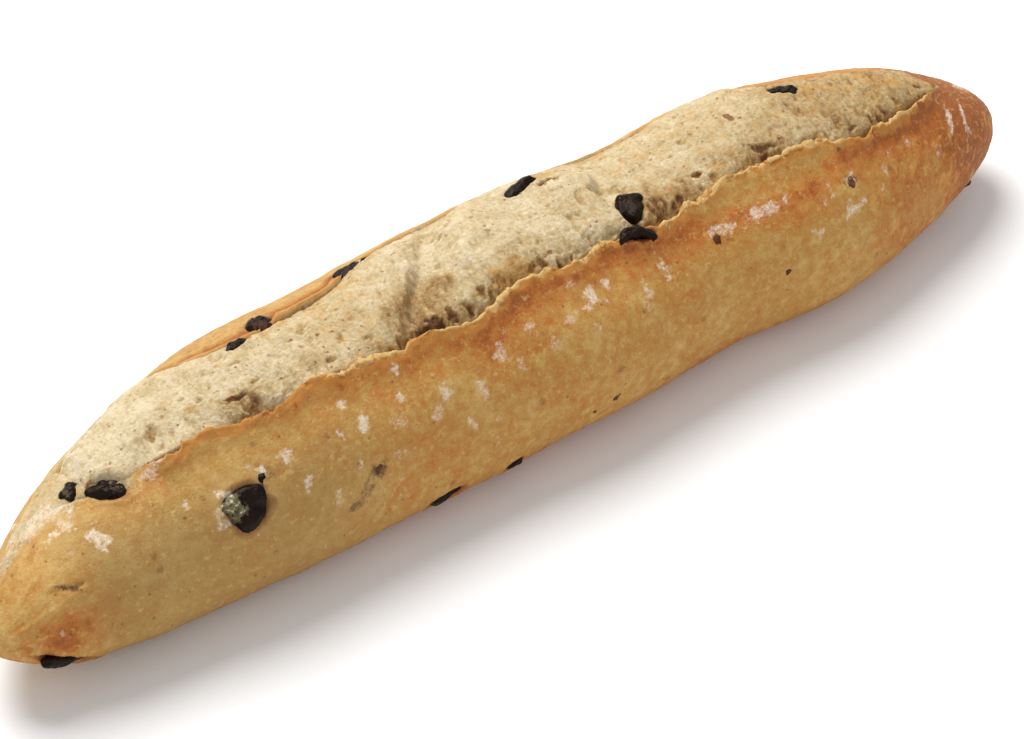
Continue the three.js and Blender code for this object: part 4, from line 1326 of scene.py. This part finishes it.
def make_bread_material():
    """Crust and crumb in one material, told apart and browned by the mesh's attributes."""
    s = Shader("bread")
    toast = s.attribute("toast")
    mottle = s.noise(2.6, 3, 0.6)
    grain = s.noise(0.75, 3, 0.65)
    crumb = s.range(s.sum(s.attribute("crumb"), (mottle, 0.5)), 0.35, 0.65)
    skin = s.mix(crumb, crust_colour(s, toast, mottle, grain), crumb_colour(s, toast, grain))
    dust = s.sum(s.attribute("flour"), (s.noise(0.9, 4, 0.8, shift=1.3), 2.1), (mottle, 0.9))
    powder = s.range(dust, 0.36, 1.2)
    height = s.sum(s.times(grain, 0.9), (s.noise(0.35, 2), 0.3), (crumb, s.times(grain, 0.7)))
    return s.dressed({
        "Base Color": s.mix(s.times(powder, 0.88), skin, FLOUR_COLOUR),
        "Roughness": s.sum(0.66, (crumb, 0.22), (powder, 0.25)),
        "Specular IOR Level": 0.3,
        "Normal": s.bump(height, 0.3, 0.9),
        "Subsurface Weight": s.times(crumb, 0.25),
        "Subsurface Radius": (1.0, 0.6, 0.3),
        "Subsurface Scale": 1.5 * MM,
    })


def make_olive_material():
    """Dark, moist olive flesh, dusted where flour fell on it."""
    s = Shader("olive")
    blotch = s.noise(2.4, 3, 0.6)
    flesh = s.ramp(s.sum(s.times(s.attribute("tone"), 0.3), (blotch, 1.2), 0.2), OLIVE_STOPS)
    flesh = s.mix(s.times(s.attribute("middle"), 0.12), flesh, OLIVE_MIDDLE)
    dust = s.sum(s.attribute("flour"), (s.noise(1.1, 4, 0.8), 2.4))
    powder = s.range(dust, 0.45, 0.95)
    flesh = s.mix(s.times(powder, 0.75), flesh, OLIVE_DUST)
    return s.dressed({
        "Base Color": s.tint(flesh, FLOUR_COLOUR, dust, 1.0, 1.3, 0.85),
        "Roughness": s.sum(0.36, (powder, 0.5), (blotch, 0.3)),
        "Specular IOR Level": 0.14,
        "Specular Tint": OLIVE_SHEEN,
        "Normal": s.bump(s.sum(s.noise(0.8, 3), (blotch, 0.6)), 0.35, 0.9),
    })


def make_floor_material():
    return Shader("floor").dressed({"Base Color": FLOOR_COLOUR, "Roughness": 0.9, "Specular IOR Level": 0.1})


# ==== Stage, light and camera ====
def direction(azimuth, elevation):
    """From the loaf towards a place round it. Azimuth 0 is -Y, and it grows towards +X."""
    a, e = math.radians(azimuth), math.radians(elevation)
    return Vector((math.sin(a) * math.cos(e), -math.cos(a) * math.cos(e), math.sin(e)))


def aim(obj, place, target):
    obj.location = place
    obj.rotation_euler = (target - place).to_track_quat("-Z", "Y").to_euler()


def make_floor():
    bpy.ops.mesh.primitive_plane_add(size=FLOOR_SIZE, location=(0, 0, 0))
    floor = bpy.context.object
    floor.name = "floor"
    floor.data.materials.append(make_floor_material())


def make_lights():
    for name, azimuth, elevation, distance, size, power in LIGHTS:
        light = bpy.data.objects.new(name, bpy.data.lights.new(name, "AREA"))
        bpy.context.scene.collection.objects.link(light)
        light.data.shape = "DISK"
        light.data.size = size
        light.data.energy = power
        place = direction(CAMERA_AZIMUTH + azimuth, elevation) * distance
        aim(light, place, Vector((0, 0, LIGHTS_AIM)))
    world = bpy.data.worlds.new("studio")
    world.use_nodes = True
    sky = world.node_tree.nodes["Background"].inputs
    sky["Color"].default_value = (1, 1, 1, 1)
    sky["Strength"].default_value = SKY_STRENGTH
    bpy.context.scene.world = world


def make_camera():
    data = bpy.data.cameras.new("camera")
    camera = bpy.data.objects.new("camera", data)
    bpy.context.scene.collection.objects.link(camera)
    data.sensor_width = SENSOR
    data.lens = FOCAL_PX * SENSOR / FRAME_WIDTH_PX
    data.clip_start = 0.05
    target = Vector(CAMERA_TARGET) * MM
    aim(camera, target + direction(CAMERA_AZIMUTH, CAMERA_ELEVATION) * CAMERA_DISTANCE * MM, target)
    bpy.context.scene.camera = camera


# ==== The scene ====
bpy.context.scene.view_settings.view_transform = "Standard"
make_camera()
make_floor()
make_lights()
bread = make_bread_material()
flesh = make_olive_material()
for make_piece in (make_crust, make_crumb, make_lip_crumbs):
    piece = make_piece(bread)
    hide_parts("loaf")
make_olives(flesh)
make_bits(flesh)
